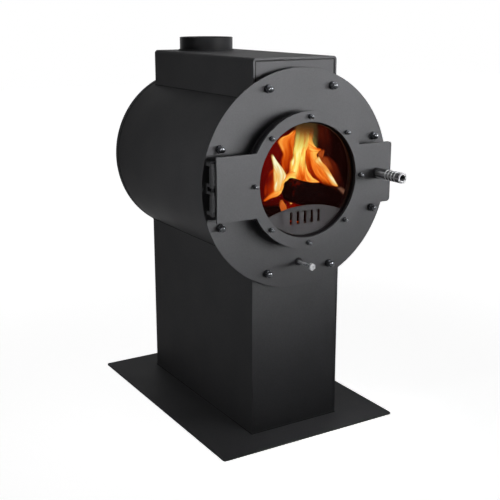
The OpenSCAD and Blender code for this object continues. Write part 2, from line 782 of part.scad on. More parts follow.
module cam_nut() color(stainless) at_handle() translate([0, cam_rear_y + cam_nut_t, 0]) difference() {
    hex_y(cam_nut_af, cam_nut_t);
    rod_y(spindle_d / 2 + run_gap, -cam_nut_t - over, over);
}

// Angle bracket on the flange whose lip the cam turns behind
module latch_keeper() color(paint) at_door() union() {
    block([keeper_leg_x, keeper_front_y, -keeper_h / 2], [keeper_leg_x + keeper_t, 0, keeper_h / 2]);
    block([keeper_leg_x - keeper_lip_l, keeper_front_y, -keeper_h / 2],
        [keeper_leg_x, keeper_front_y + keeper_t, keeper_h / 2]);
}

base_plate();
pedestal_wrap();
pedestal_front_panel();
barrel();
barrel_ring();
rear_cap();
flange_gasket();
front_flange();
flange_studs();
flange_washers();
flange_cap_nuts();
box_wrap();
box_front_panel();
box_rear_panel();
flue_spigot();
smoke_baffle();
baffle_ledges();
grate();
grate_rails();
air_shelf();
damper_guides();
rod_bush();
door_collar();
hinge_top_bracket();
hinge_middle_bracket();
hinge_bottom_bracket();
hinge_pin();
latch_keeper();
door_plate();
hinge_upper_sleeve();
hinge_lower_sleeve();
glass_front_seal();
door_glass();
glass_retainer();
log_guard();
door_rope_seal();
door_studs();
door_washers();
door_cap_nuts();
handle_collar();
handle_spindle();
handle_grip();
latch_cam();
cam_nut();
air_rod();
air_rod_head();
rod_lock_nut();
damper_plate();
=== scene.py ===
"""Looks of a tent wood stove: finishes, weld beads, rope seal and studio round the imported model."""
import logging
import math
import random
from dataclasses import dataclass
from enum import Enum
from typing import Any, Callable, Dict, List, Optional, Sequence, Tuple, Union

import bpy
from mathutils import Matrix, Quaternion, Vector, noise


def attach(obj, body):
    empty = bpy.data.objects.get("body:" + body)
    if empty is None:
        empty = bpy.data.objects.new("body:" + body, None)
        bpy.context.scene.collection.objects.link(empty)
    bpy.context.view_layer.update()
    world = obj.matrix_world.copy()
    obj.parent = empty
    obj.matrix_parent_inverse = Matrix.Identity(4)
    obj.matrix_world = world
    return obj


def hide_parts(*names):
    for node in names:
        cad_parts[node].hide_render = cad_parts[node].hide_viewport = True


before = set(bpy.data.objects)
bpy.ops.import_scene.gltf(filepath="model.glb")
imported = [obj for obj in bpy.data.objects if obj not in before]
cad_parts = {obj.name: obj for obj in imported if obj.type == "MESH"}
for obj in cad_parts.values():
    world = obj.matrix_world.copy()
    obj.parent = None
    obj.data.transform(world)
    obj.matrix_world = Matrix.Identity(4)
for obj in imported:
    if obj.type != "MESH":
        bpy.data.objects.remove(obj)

logging.basicConfig(level=logging.INFO, format="%(levelname)s %(message)s")
LOG = logging.getLogger("stove")

MM = 0.001
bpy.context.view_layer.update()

# Stations that the CAD source uses, in metres
AXIS_Z = 0.514                  # the barrel's axis above the floor
DOOR_Z = 0.518                  # the door's centre above the floor
FLANGE_Y = -0.226               # the flange's front face
HANDLE_X = 0.165                # the handle's axis
REAR_CAP_Y = FLANGE_Y + 0.449   # halfway through the rear cap's sheet
BARREL_WALL_R = 0.179           # halfway through the barrel's sheet

# Points round the rings that beads follow
LARGE_RING = 720
SMALL_RING = 540

WHITE = (1.0, 1.0, 1.0, 1.0)

Span = Tuple[float, float]
Triple = Tuple[float, float, float]
Edge = Tuple[float, float, float, float]
Face = Tuple[int, ...]
MeshData = Tuple[List[Vector], List[Face]]
Section = Callable[[int, float], Span]
Tree = bpy.types.NodeTree
Socket = bpy.types.NodeSocket
Obj = bpy.types.Object


# ---- Small tools ----

def linear(code: str) -> Tuple[float, float, float, float]:
    """Turns an sRGB hex colour into linear RGBA.

    Args:
        code: Six hex digits, with or without a leading hash.

    Returns:
        Red, green, blue and an alpha of 1.
    """
    digits = code.lstrip("#")
    channels = [int(digits[i:i + 2], 16) / 255 for i in (0, 2, 4)]
    red, green, blue = (c / 12.92 if c <= 0.04045 else ((c + 0.055) / 1.055) ** 2.4 for c in channels)
    return red, green, blue, 1.0


def add_node(tree: Tree, kind: str, inputs: Optional[Dict[Union[str, int], Any]] = None,
             **settings: Any) -> bpy.types.Node:
    """Adds one node with its settings, its input values and its links.

    Args:
        tree: The node tree.
        kind: The node's Blender type name.
        inputs: Input name or number to a value, or to an output socket to link from.
        **settings: Properties of the node. "stops" gives a colour ramp's (place, hex colour) pairs.

    Returns:
        The new node.
    """
    node = tree.nodes.new(kind)
    stops = settings.pop("stops", None)
    for name, value in settings.items():
        setattr(node, name, value)
    if stops:
        ramp = node.color_ramp
        while len(ramp.elements) < len(stops):
            ramp.elements.new(1.0)
        for element, (place, code) in zip(ramp.elements, stops):
            element.position = place
            element.color = linear(code)
    for key, value in (inputs or {}).items():
        if isinstance(value, Socket):
            tree.links.new(value, node.inputs[key])
        else:
            node.inputs[key].default_value = value
    return node


def per_mm(size: float) -> float:
    """Texture scale, in cells per metre, of a pattern that repeats every so many millimetres."""
    return 1.0 / (size * MM)


def lengthwise(tree: Tree) -> Socket:
    """The way along a turned bar that lies along Y, for the streak of light that its lathe marks draw out.

    Args:
        tree: The material's node tree.

    Returns:
        The direction, a little off Y so that the bar's end face has one too.
    """
    along = add_node(tree, "ShaderNodeCombineXYZ", {"X": 0.02, "Y": 1.0, "Z": 0.01})
    return add_node(tree, "ShaderNodeVectorTransform", {"Vector": along.outputs["Vector"]},
                    vector_type="VECTOR", convert_from="OBJECT", convert_to="WORLD").outputs["Vector"]


def station(x: float, y: float, z: float) -> Vector:
    """A point in metres from millimetres off the barrel's axis and the flange's front face."""
    return Vector((x * MM, FLANGE_Y + y * MM, AXIS_Z + z * MM))


def door_station(x: float, y: float, z: float) -> Vector:
    """A point in metres from millimetres off the door's centre and the flange's front face."""
    return Vector((x * MM, FLANGE_Y + y * MM, DOOR_Z + z * MM))


def piece(name: str, data: MeshData, finish: "Finish", smooth: bool = True) -> Obj:
    """Makes a mesh object from points and faces, with its finish.

    Args:
        name: Name of the object.
        data: Points and faces.
        finish: The finish of its surface.
        smooth: Whether its faces are shaded smooth.

    Returns:
        The object, linked to the scene.
    """
    points, faces = data
    mesh = bpy.data.meshes.new(name)
    mesh.from_pydata([tuple(p) for p in points], [], faces)
    mesh.validate()
    mesh.polygons.foreach_set("use_smooth", [smooth] * len(mesh.polygons))
    mesh.materials.append(finish.material())
    made = bpy.data.objects.new(name, mesh)
    bpy.context.scene.collection.objects.link(made)
    return made


def grid_faces(rows: int, columns: int) -> List[Face]:
    """Faces of an open grid of points.

    Args:
        rows: Faces from the first row of points to the last.
        columns: Faces along a row.

    Returns:
        The faces, over points that are listed row by row.
    """
    wide = columns + 1
    return [(k, k + 1, k + wide + 1, k + wide)
            for row in range(rows) for k in range(row * wide, row * wide + columns)]


def tube_faces(rings: int, sides: int, closed: bool) -> List[Face]:
    """Faces of a tube of points.

    Args:
        rings: Rings of points along the tube.
        sides: Points round a ring.
        closed: Whether the last ring joins the first.

    Returns:
        The faces round the tube, over points that are listed ring by ring.
    """
    faces = []
    for ring in range(rings if closed else rings - 1):
        here, there = ring * sides, (ring + 1) % rings * sides
        for j in range(sides):
            k = (j + 1) % sides
            faces.append((here + j, here + k, there + k, there + j))
    return faces


def joined(parts: Sequence[MeshData]) -> MeshData:
    """Joins several meshes into one.

    Args:
        parts: Points and faces of each.

    Returns:
        All points and all faces.
    """
    points: List[Vector] = []
    faces: List[Face] = []
    for more_points, more_faces in parts:
        start = len(points)
        points.extend(more_points)
        faces.extend(tuple(i + start for i in face) for face in more_faces)
    return points, faces


def sweep(path: Sequence[Vector], section: Section, sides: int, closed: bool) -> MeshData:
    """Sweeps a section along a path.

    Args:
        path: The points of the path.
        section: Gives the section's two offsets at a path index and a turn from 0 to 1.
        sides: Points round the section.
        closed: Whether the path's end joins its start.

    Returns:
        Points and faces of the swept skin, with flat ends on an open path.
    """
    count = len(path)
    tangents = []
    for i in range(count):
        before = path[(i - 1) % count] if closed or i else path[0]
        after = path[(i + 1) % count] if closed or i < count - 1 else path[-1]
        tangents.append((after - before).normalized())
    side = tangents[0].orthogonal().normalized()
    sides_at = []
    for i in range(count):
        turn = tangents[i - 1].rotation_difference(tangents[i]) if i else Quaternion()
        side = turn @ side
        side = (side - tangents[i] * side.dot(tangents[i])).normalized()
        sides_at.append(side.copy())
    if closed:
        last = tangents[-1].rotation_difference(tangents[0]) @ sides_at[-1]
        twist = last.angle(sides_at[0])
        if last.cross(sides_at[0]).dot(tangents[0]) < 0:
            twist = -twist
        for i in range(count):
            sides_at[i] = Quaternion(tangents[i], twist * i / count) @ sides_at[i]
    points = []
    for i, centre in enumerate(path):
        across = tangents[i].cross(sides_at[i])
        for j in range(sides):
            a, b = section(i, j / sides)
            points.append(centre + sides_at[i] * a + across * b)
    faces = tube_faces(count, sides, closed)
    if not closed:
        faces.append(tuple(reversed(range(sides))))
        faces.append(tuple((count - 1) * sides + j for j in range(sides)))
    return points, faces


def evenly(corners: Sequence[Vector], step: float, closed: bool) -> List[Vector]:
    """Points spaced evenly along straight runs between corners.

    Args:
        corners: The corners in order.
        step: Rough distance between points, in metres.
        closed: Whether the last corner joins the first.

    Returns:
        The points.
    """
    runs = list(zip(corners, list(corners[1:]) + ([corners[0]] if closed else [])))
    made: List[Vector] = []
    for a, b in runs:
        steps = max(1, round((b - a).length / step))
        made.extend(a.lerp(b, i / steps) for i in range(steps))
    if not closed:
        made.append(corners[-1].copy())
    return made


def circle_points(centre: Vector, radius: float, count: int, upright: bool) -> List[Vector]:
    """Points on a circle.

    Args:
        centre: Its centre.
        radius: Its radius in metres.
        count: How many points.
        upright: True for a circle about Y, False for one about Z.

    Returns:
        The points.
    """
    made = []
    for i in range(count):
        a = 2 * math.pi * i / count
        out, up = math.cos(a), math.sin(a)
        made.append(centre + Vector((out, 0, up) if upright else (out, up, 0)) * radius)
    return made


# ---- Finishes ----

@dataclass(frozen=True)
class Finish:
    """A surface finish that makes one Blender material and keeps it."""

    name: str

    def material(self) -> bpy.types.Material:
        """Makes the finish's material the first time it is asked for.

        Returns:
            The material.
        """
        known = bpy.data.materials.get("finish_" + self.name)
        if known is None:
            known = bpy.data.materials.new("finish_" + self.name)
            known.use_nodes = True
            known.node_tree.nodes.clear()
            shader = self.shade(known.node_tree)
            add_node(known.node_tree, "ShaderNodeOutputMaterial", {"Surface": shader})
        return known

    def shade(self, tree: Tree) -> Socket:
        """Builds the finish's nodes.

        Args:
            tree: The material's node tree.

        Returns:
            The shader's output.
        """
        raise NotImplementedError

    def on(self, *names: str) -> None:
        """Gives this finish to CAD nodes."""
        for name in names:
            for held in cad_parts[name].material_slots:
                held.material = self.material()


@dataclass(frozen=True)
class ReliefFinish(Finish):
    """A finish whose pattern also stands up from the surface."""

    relief: Span = (0.3, 0.3)   # strength of the bumps, and their depth in mm

    def surface(self, tree: Tree, height: Socket, look: Dict[str, Any]) -> Socket:
        """Closes the finish with its relief and its shader.

        Args:
            tree: The material's node tree.
            height: How far each point stands up, from 0 to 1.
            look: Shader input to a value, or to an output socket to link from.

        Returns:
            The shader's output.
        """
        bump = add_node(tree, "ShaderNodeBump", {
            "Strength": self.relief[0], "Distance": self.relief[1] * MM, "Height": height})
        return add_node(tree, "ShaderNodeBsdfPrincipled",
                        {**look, "Normal": bump.outputs["Normal"]}).outputs["BSDF"]


@dataclass(frozen=True)
class StovePaint(ReliefFinish):
    """Silicone heat paint, sprayed matt on mild steel sheet: even graphite black with a fine dry grain."""

    tint: str = "#5b5b5d"
    shade_tint: str = "#525254"
    roughness: float = 0.55
    uneven: float = 0.05    # how far the roughness strays either way
    specular: float = 0.035
    grain: float = 2.2      # mm; sprayed grit is 0.2 mm, drawn coarser so that it shows
    cloud: float = 90.0     # mm, overlapping passes of the spray gun
    relief: Span = (0.16, 0.4)
    sooted_bore: bool = False
    flake: float = 24.0     # mm, flakes of soot inside the barrel

    def shade(self, tree: Tree) -> Socket:
        """Builds the finish's nodes.

        Args:
            tree: The material's node tree.

        Returns:
            The shader's output.
        """
        place = add_node(tree, "ShaderNodeTexCoord").outputs["Object"]
        passes = add_node(tree, "ShaderNodeTexNoise",
                          {"Vector": place, "Scale": per_mm(self.cloud), "Detail": 3.0, "Roughness": 0.5})
        grit = add_node(tree, "ShaderNodeTexNoise",
                        {"Vector": place, "Scale": per_mm(self.grain), "Detail": 2.0, "Roughness": 0.6})
        colour = add_node(tree, "ShaderNodeMix",
                          {0: passes.outputs["Fac"], "A": linear(self.tint), "B": linear(self.shade_tint)},
                          data_type="RGBA")
        speck = add_node(tree, "ShaderNodeMapRange",
                         {"Value": grit.outputs["Fac"], "From Min": 0.3, "From Max": 0.7,
                          "To Min": 0.93, "To Max": 1.06})
        graded = add_node(tree, "ShaderNodeVectorMath",
                          {0: colour.outputs["Result"], "Scale": speck.outputs["Result"]},
                          operation="SCALE")
        rough = add_node(tree, "ShaderNodeMapRange",
                         {"Value": passes.outputs["Fac"], "To Min": self.roughness - self.uneven,
                          "To Max": self.roughness + self.uneven})
        base = graded.outputs["Vector"]
        if self.sooted_bore:
            base = self.soot(tree, place, base)
        return self.surface(tree, grit.outputs["Fac"], {
            "Base Color": base, "Roughness": rough.outputs["Result"],
            "Specular IOR Level": self.specular})

    def soot(self, tree: Tree, place: Socket, base: Socket) -> Socket:
        """Blackens the inside of the barrel with soot, by the distance from its axis.

        Args:
            tree: The material's node tree.
            place: The point on the surface.
            base: The paint's colour.

        Returns:
            The paint's colour outside and the soot's inside.
        """
        parts = add_node(tree, "ShaderNodeSeparateXYZ", {"Vector": place})
        lower = add_node(tree, "ShaderNodeMath", {0: parts.outputs["Z"], 1: AXIS_Z}, operation="SUBTRACT")
        flat = add_node(tree, "ShaderNodeCombineXYZ", {"X": parts.outputs["X"], "Y": lower.outputs[0]})
        reach = add_node(tree, "ShaderNodeVectorMath", {0: flat.outputs["Vector"]}, operation="LENGTH")
        bore = add_node(tree, "ShaderNodeMath", {0: reach.outputs["Value"], 1: BARREL_WALL_R},
                        operation="LESS_THAN")
        ahead = add_node(tree, "ShaderNodeMath", {0: parts.outputs["Y"], 1: REAR_CAP_Y},
                         operation="LESS_THAN")
        inside = add_node(tree, "ShaderNodeMath", {0: bore.outputs[0], 1: ahead.outputs[0]},
                          operation="MULTIPLY")
        flakes = add_node(tree, "ShaderNodeTexNoise",
                          {"Vector": place, "Scale": per_mm(self.flake), "Detail": 6.0})
        black = add_node(tree, "ShaderNodeValToRGB", {"Fac": flakes.outputs["Fac"]},
                         stops=((0.35, "#070504"), (0.6, "#130e0c"), (0.8, "#2a201b")))
        return add_node(tree, "ShaderNodeMix",
                        {0: inside.outputs[0], "A": base, "B": black.outputs["Color"]},
                        data_type="RGBA").outputs["Result"]


@dataclass(frozen=True)
class WeldPaint(ReliefFinish):
    """Weld bead under the same paint, its colour drawn darker as painted shade in the seam that it lies in.
    """

    # darker than the paint on the sheet: painted shade in the seam
    tint: str = "#1d1d1e"
    light_tint: str = "#303031"
    roughness: float = 0.7
    specular: float = 0.2
    blot: float = 3.0       # mm, spots of mill scale under the paint
    relief: Span = (0.3, 0.3)

    def shade(self, tree: Tree) -> Socket:
        """Builds the finish's nodes.

        Args:
            tree: The material's node tree.

        Returns:
            The shader's output.
        """
        place = add_node(tree, "ShaderNodeTexCoord").outputs["Object"]
        blots = add_node(tree, "ShaderNodeTexNoise",
                         {"Vector": place, "Scale": per_mm(self.blot), "Detail": 4.0})
        tone = add_node(tree, "ShaderNodeMix",
                        {0: blots.outputs["Fac"], "A": linear(self.tint), "B": linear(self.light_tint)},
                        data_type="RGBA")
        return self.surface(tree, blots.outputs["Fac"], {
            "Base Color": tone.outputs["Result"], "Roughness": self.roughness,
            "Specular IOR Level": self.specular})


@dataclass(frozen=True)
class TurnedStainless(ReliefFinish):
    """Stainless steel turned on a lathe: bright, with fine rings about the spindle's axis."""

    tint: str = "#c4c5c8"
    worn: str = "#9c9ea2"
    roughness: float = 0.2
    uneven: Span = (-0.05, 0.08)    # how far the roughness strays down and up
    ring: float = 0.9       # mm; lathe feed is 0.1 mm, drawn coarser so that it shows
    smear: float = 5.0      # mm, marks of handling
    relief: Span = (0.12, 0.2)

    def shade(self, tree: Tree) -> Socket:
        """Builds the finish's nodes.

        Args:
            tree: The material's node tree.

        Returns:
            The shader's output.
        """
        place = add_node(tree, "ShaderNodeTexCoord").outputs["Object"]
        feed = add_node(tree, "ShaderNodeTexWave",
                        {"Vector": place, "Scale": per_mm(self.ring) / (2 * math.pi), "Distortion": 0.6,
                         "Detail": 2.0},
                        wave_type="BANDS", bands_direction="Y")
        smear = add_node(tree, "ShaderNodeTexNoise",
                         {"Vector": place, "Scale": per_mm(self.smear), "Detail": 4.0})
        tone = add_node(tree, "ShaderNodeMix",
                        {0: smear.outputs["Fac"], "A": linear(self.tint), "B": linear(self.worn)},
                        data_type="RGBA")
        rough = add_node(tree, "ShaderNodeMapRange",
                         {"Value": smear.outputs["Fac"], "To Min": self.roughness + self.uneven[0],
                          "To Max": self.roughness + self.uneven[1]})
        return self.surface(tree, feed.outputs["Fac"], {
            "Base Color": tone.outputs["Result"], "Metallic": 1.0,
            "Roughness": rough.outputs["Result"]})


@dataclass(frozen=True)
class SatinGrip(ReliefFinish):
    """Handle tube of turned aluminium: a dull oxide skin, bright where the lathe cut grooves and end.

    The oxide scatters most of the light into a soft grey, and the lathe marks draw the rest out along
    the tube.
    """

    skin: str = "#d4d4d7"
    worn: str = "#3c3c3f"
    groove_cut: str = "#f4f4f6"
    end_cut: str = "#b4b4b7"
    metallic: float = 0.3
    roughness: float = 0.5
    drawn_out: float = 0.9
    rub: float = 5.0        # mm between rub marks, which run along the tube
    rub_length: float = 62.5        # mm
    worn_span: Span = (0.38, 0.54)  # share of the rub marks at which the skin starts and ends to wear
    relief: Span = (0.15, 0.3)
    end_y: float = FLANGE_Y - 107 * MM
    end_depth: float = 1.1 * MM     # how far the cut end reaches along the tube
    groove_floor: float = 10.3 * MM
    bore_r: float = 6.2 * MM
    bore_lip: float = 1.0 * MM

    def shade(self, tree: Tree) -> Socket:
        """Builds the finish's nodes.

        Args:
            tree: The material's node tree.

        Returns:
            The shader's output.
        """
        place = add_node(tree, "ShaderNodeTexCoord").outputs["Object"]
        parts = add_node(tree, "ShaderNodeSeparateXYZ", {"Vector": place})
        along = add_node(tree, "ShaderNodeMath", {0: parts.outputs["Y"], 1: self.end_y},
                         operation="SUBTRACT")
        face = add_node(tree, "ShaderNodeMath", {0: along.outputs[0], 1: self.end_depth},
                        operation="LESS_THAN")
        off = add_node(tree, "ShaderNodeCombineXYZ", {
            "X": add_node(tree, "ShaderNodeMath", {0: parts.outputs["X"], 1: HANDLE_X},
                          operation="SUBTRACT").outputs[0],
            "Y": add_node(tree, "ShaderNodeMath", {0: parts.outputs["Z"], 1: DOOR_Z},
                          operation="SUBTRACT").outputs[0]})
        reach = add_node(tree, "ShaderNodeVectorMath", {0: off.outputs["Vector"]}, operation="LENGTH")
        floor = add_node(tree, "ShaderNodeMath", {0: reach.outputs["Value"], 1: self.groove_floor},
                         operation="LESS_THAN")
        outer = add_node(tree, "ShaderNodeMath",
                         {0: reach.outputs["Value"], 1: self.bore_r + self.bore_lip},
                         operation="GREATER_THAN")
        grooved = add_node(tree, "ShaderNodeMath", {0: floor.outputs[0], 1: outer.outputs[0]},
                           operation="MULTIPLY")
        drawn = add_node(tree, "ShaderNodeVectorMath",
                         {0: place, 1: (1.0, self.rub / self.rub_length, 1.0)}, operation="MULTIPLY")
        smear = add_node(tree, "ShaderNodeTexNoise",
                         {"Vector": drawn.outputs["Vector"], "Scale": per_mm(self.rub), "Detail": 2.0})
        marks = add_node(tree, "ShaderNodeMapRange",
                         {"Value": smear.outputs["Fac"], "From Min": self.worn_span[0],
                          "From Max": self.worn_span[1]})
        dark = add_node(tree, "ShaderNodeMix",
                        {0: marks.outputs["Result"], "A": linear(self.skin), "B": linear(self.worn)},
                        data_type="RGBA")
        cut = add_node(tree, "ShaderNodeMix",
                       {0: grooved.outputs[0], "A": dark.outputs["Result"], "B": linear(self.groove_cut)},
                       data_type="RGBA")
        tone = add_node(tree, "ShaderNodeMix",
                        {0: face.outputs[0], "A": cut.outputs["Result"], "B": linear(self.end_cut)},
                        data_type="RGBA")
        return self.surface(tree, smear.outputs["Fac"], {
            "Base Color": tone.outputs["Result"], "Metallic": self.metallic,
            "Roughness": self.roughness, "Anisotropic": self.drawn_out, "Tangent": lengthwise(tree)})


@dataclass(frozen=True)
class ZincPlate(ReliefFinish):
    """Rolled steel thread, zinc plated and passivated: pale blue-grey and satin, with its turns showing."""

    tint: str = "#d9dadd"
    spangle: str = "#7c7e83"
    metallic: float = 0.3
    roughness: float = 0.5
    drawn_out: float = 0.9
    thread: float = 2.6     # mm; an M6 thread's pitch is 1 mm, drawn coarser so that it shows
    cloud: float = 9.0      # mm, patches where the plate has dulled
    worn_span: Span = (0.42, 0.58)  # share of the clouds at which the plate starts and ends to dull
    relief: Span = (1.0, 0.9)

    def shade(self, tree: Tree) -> Socket:
        """Builds the finish's nodes.

        Args:
            tree: The material's node tree.

        Returns:
            The shader's output.
        """
        place = add_node(tree, "ShaderNodeTexCoord").outputs["Object"]
        turns = add_node(tree, "ShaderNodeTexWave",
                         {"Vector": place, "Scale": per_mm(self.thread) / (2 * math.pi),
                          "Distortion": 0.3},
                         wave_type="BANDS", bands_direction="Y")
        clouds = add_node(tree, "ShaderNodeTexNoise",
                          {"Vector": place, "Scale": per_mm(self.cloud), "Detail": 3.0})
        worn = add_node(tree, "ShaderNodeMapRange",
                        {"Value": clouds.outputs["Fac"], "From Min": self.worn_span[0],
                         "From Max": self.worn_span[1]})
        tone = add_node(tree, "ShaderNodeMix",
                        {0: worn.outputs["Result"], "A": linear(self.tint), "B": linear(self.spangle)},
                        data_type="RGBA")
        return self.surface(tree, turns.outputs["Fac"], {
            "Base Color": tone.outputs["Result"], "Metallic": self.metallic,
            "Roughness": self.roughness, "Anisotropic": self.drawn_out, "Tangent": lengthwise(tree)})


@dataclass(frozen=True)
class BlackOxide(Finish):
    """Small steel parts blackened in a hot salt bath: near black, with an oily sheen."""

    tint: str = "#2c2c2e"
    light_tint: str = "#3c3c3f"
    roughness: float = 0.45
    bath: float = 4.0       # mm, clouds that the bath leaves

    def shade(self, tree: Tree) -> Socket:
        """Builds the finish's nodes.

        Args:
            tree: The material's node tree.

        Returns:
            The shader's output.
        """
        place = add_node(tree, "ShaderNodeTexCoord").outputs["Object"]
        bath = add_node(tree, "ShaderNodeTexNoise",
                        {"Vector": place, "Scale": per_mm(self.bath), "Detail": 3.0})
        tone = add_node(tree, "ShaderNodeMix",
                        {0: bath.outputs["Fac"], "A": linear(self.tint), "B": linear(self.light_tint)},
                        data_type="RGBA")
        return add_node(tree, "ShaderNodeBsdfPrincipled",
                        {"Base Color": tone.outputs["Result"], "Metallic": 1.0,
                         "Roughness": self.roughness}).outputs["BSDF"]


@dataclass(frozen=True)
class SootySteel(ReliefFinish):
    """Bare mild steel that fire has blackened: dull, with brown scale and patches of soot."""

    soot: str = "#15110f"
    scale_tint: str = "#4a3a30"
    bare: str = "#5c5651"
    metallic: float = 0.4
    roughness: float = 0.68
    patch: float = 30.0     # mm, patches of soot
    pitting: float = 2.0    # mm; scale pits are 0.3 mm, drawn coarser so that they show
    relief: Span = (0.3, 0.4)

    def shade(self, tree: Tree) -> Socket:
        """Builds the finish's nodes.

        Args:
            tree: The material's node tree.

        Returns:
            The shader's output.
        """
        place = add_node(tree, "ShaderNodeTexCoord").outputs["Object"]
        patches = add_node(tree, "ShaderNodeTexNoise",
                           {"Vector": place, "Scale": per_mm(self.patch), "Detail": 6.0})
        pits = add_node(tree, "ShaderNodeTexNoise",
                        {"Vector": place, "Scale": per_mm(self.pitting), "Detail": 3.0})
        tone = add_node(tree, "ShaderNodeValToRGB", {"Fac": patches.outputs["Fac"]},
                        stops=((0.38, self.soot), (0.55, self.scale_tint), (0.72, self.bare)))
        return self.surface(tree, pits.outputs["Fac"], {
            "Base Color": tone.outputs["Color"], "Metallic": self.metallic,
            "Roughness": self.roughness})


@dataclass(frozen=True)
class CastGrate(ReliefFinish):
    """Grey iron cast in sand: a pebbled skin of 1 to 2 mm, dusted with pale ash."""

    iron: str = "#1c1a19"
    ash: str = "#6d6964"
    roughness: float = 0.8
    pebble: float = 1.8     # mm, the sand's print in the skin
    dust: float = 22.0      # mm, drifts of ash
    relief: Span = (0.5, 0.5)

    def shade(self, tree: Tree) -> Socket:
        """Builds the finish's nodes.

        Args:
            tree: The material's node tree.

        Returns:
            The shader's output.
        """
        place = add_node(tree, "ShaderNodeTexCoord").outputs["Object"]
        pebble = add_node(tree, "ShaderNodeTexVoronoi", {"Vector": place, "Scale": per_mm(self.pebble)})
        dust = add_node(tree, "ShaderNodeTexNoise",
                        {"Vector": place, "Scale": per_mm(self.dust), "Detail": 5.0})
        tone = add_node(tree, "ShaderNodeValToRGB", {"Fac": dust.outputs["Fac"]},
                        stops=((0.5, self.iron), (0.75, self.ash)))
        return self.surface(tree, pebble.outputs["Distance"], {
            "Base Color": tone.outputs["Color"], "Roughness": self.roughness})


@dataclass(frozen=True)
class CeramicGlass(Finish):
    """Drawn ceramic glass: a thin clear pane with a faint amber body, a mirror gloss and a breath of soot.

    Most light goes straight through such a thin pane, so its body is a small share of it and bends nothing.
    """

    tint: str = "#2c0d0a"
    body: float = 0.08      # share of the light that the pane's body takes
    film: float = 0.05      # as much more where soot has settled
    smudge: float = 45.0    # mm, patches of soot
    roughness: float = 0.0
    ior: float = 1.5
    gloss: float = 0.1

    def shade(self, tree: Tree) -> Socket:
        """Builds the finish's nodes.

        Args:
            tree: The material's node tree.

        Returns:
            The shader's output.
        """
        place = add_node(tree, "ShaderNodeTexCoord").outputs["Object"]
        haze = add_node(tree, "ShaderNodeTexNoise",
                        {"Vector": place, "Scale": per_mm(self.smudge), "Detail": 4.0})
        share = add_node(tree, "ShaderNodeMapRange",
                         {"Value": haze.outputs["Fac"], "From Min": 0.4, "From Max": 0.8,
                          "To Min": self.body, "To Max": self.body + self.film})
        return add_node(tree, "ShaderNodeBsdfPrincipled",
                        {"Base Color": linear(self.tint), "Roughness": self.roughness,
                         "IOR": self.ior, "Specular IOR Level": self.gloss,
                         "Alpha": share.outputs["Result"]}).outputs["BSDF"]


@dataclass(frozen=True)
class FibreRope(ReliefFinish):
    """Glass-fibre yarn dyed black with graphite: soft sheen and fine filaments along each strand."""

    tint: str = "#1b1b1c"
    fuzz: str = "#3b3b3c"
    roughness: float = 0.9
    sheen: float = 0.3
    filament: float = 0.8   # mm; a filament is 0.01 mm, drawn coarser so that it shows
    relief: Span = (0.5, 0.3)

    def shade(self, tree: Tree) -> Socket:
        """Builds the finish's nodes.

        Args:
            tree: The material's node tree.

        Returns:
            The shader's output.
        """
        place = add_node(tree, "ShaderNodeTexCoord").outputs["Object"]
        fibres = add_node(tree, "ShaderNodeTexNoise",
                          {"Vector": place, "Scale": per_mm(self.filament), "Detail": 3.0})
        tone = add_node(tree, "ShaderNodeMix",
                        {0: fibres.outputs["Fac"], "A": linear(self.tint), "B": linear(self.fuzz)},
                        data_type="RGBA")
        return self.surface(tree, fibres.outputs["Fac"], {
            "Base Color": tone.outputs["Result"], "Roughness": self.roughness,
            "Sheen Weight": self.sheen})


@dataclass(frozen=True)
class WovenTape(ReliefFinish):
    """Flat black glass-fibre tape in plain weave, its threads about 1.2 mm apart."""

    tint: str = "#0e0e0f"
    light_tint: str = "#2a2a2b"
    roughness: float = 0.95
    thread: float = 1.2     # mm
    stray: float = 0.9      # mm, loose fibres on the weave
    relief: Span = (0.4, 0.3)

    def shade(self, tree: Tree) -> Socket:
        """Builds the finish's nodes.

        Args:
            tree: The material's node tree.

        Returns:
            The shader's output.
        """
        place = add_node(tree, "ShaderNodeTexCoord").outputs["Object"]
        weave = add_node(tree, "ShaderNodeTexChecker", {"Vector": place, "Scale": per_mm(self.thread)})
        loose = add_node(tree, "ShaderNodeTexNoise",
                         {"Vector": place, "Scale": per_mm(self.stray), "Detail": 2.0})
        woven = add_node(tree, "ShaderNodeMath", {0: weave.outputs["Fac"], 1: loose.outputs["Fac"]},
                         operation="MULTIPLY")
        tone = add_node(tree, "ShaderNodeMix",
                        {0: woven.outputs[0], "A": linear(self.tint), "B": linear(self.light_tint)},
                        data_type="RGBA")
        return self.surface(tree, woven.outputs[0], {
            "Base Color": tone.outputs["Result"], "Roughness": self.roughness})


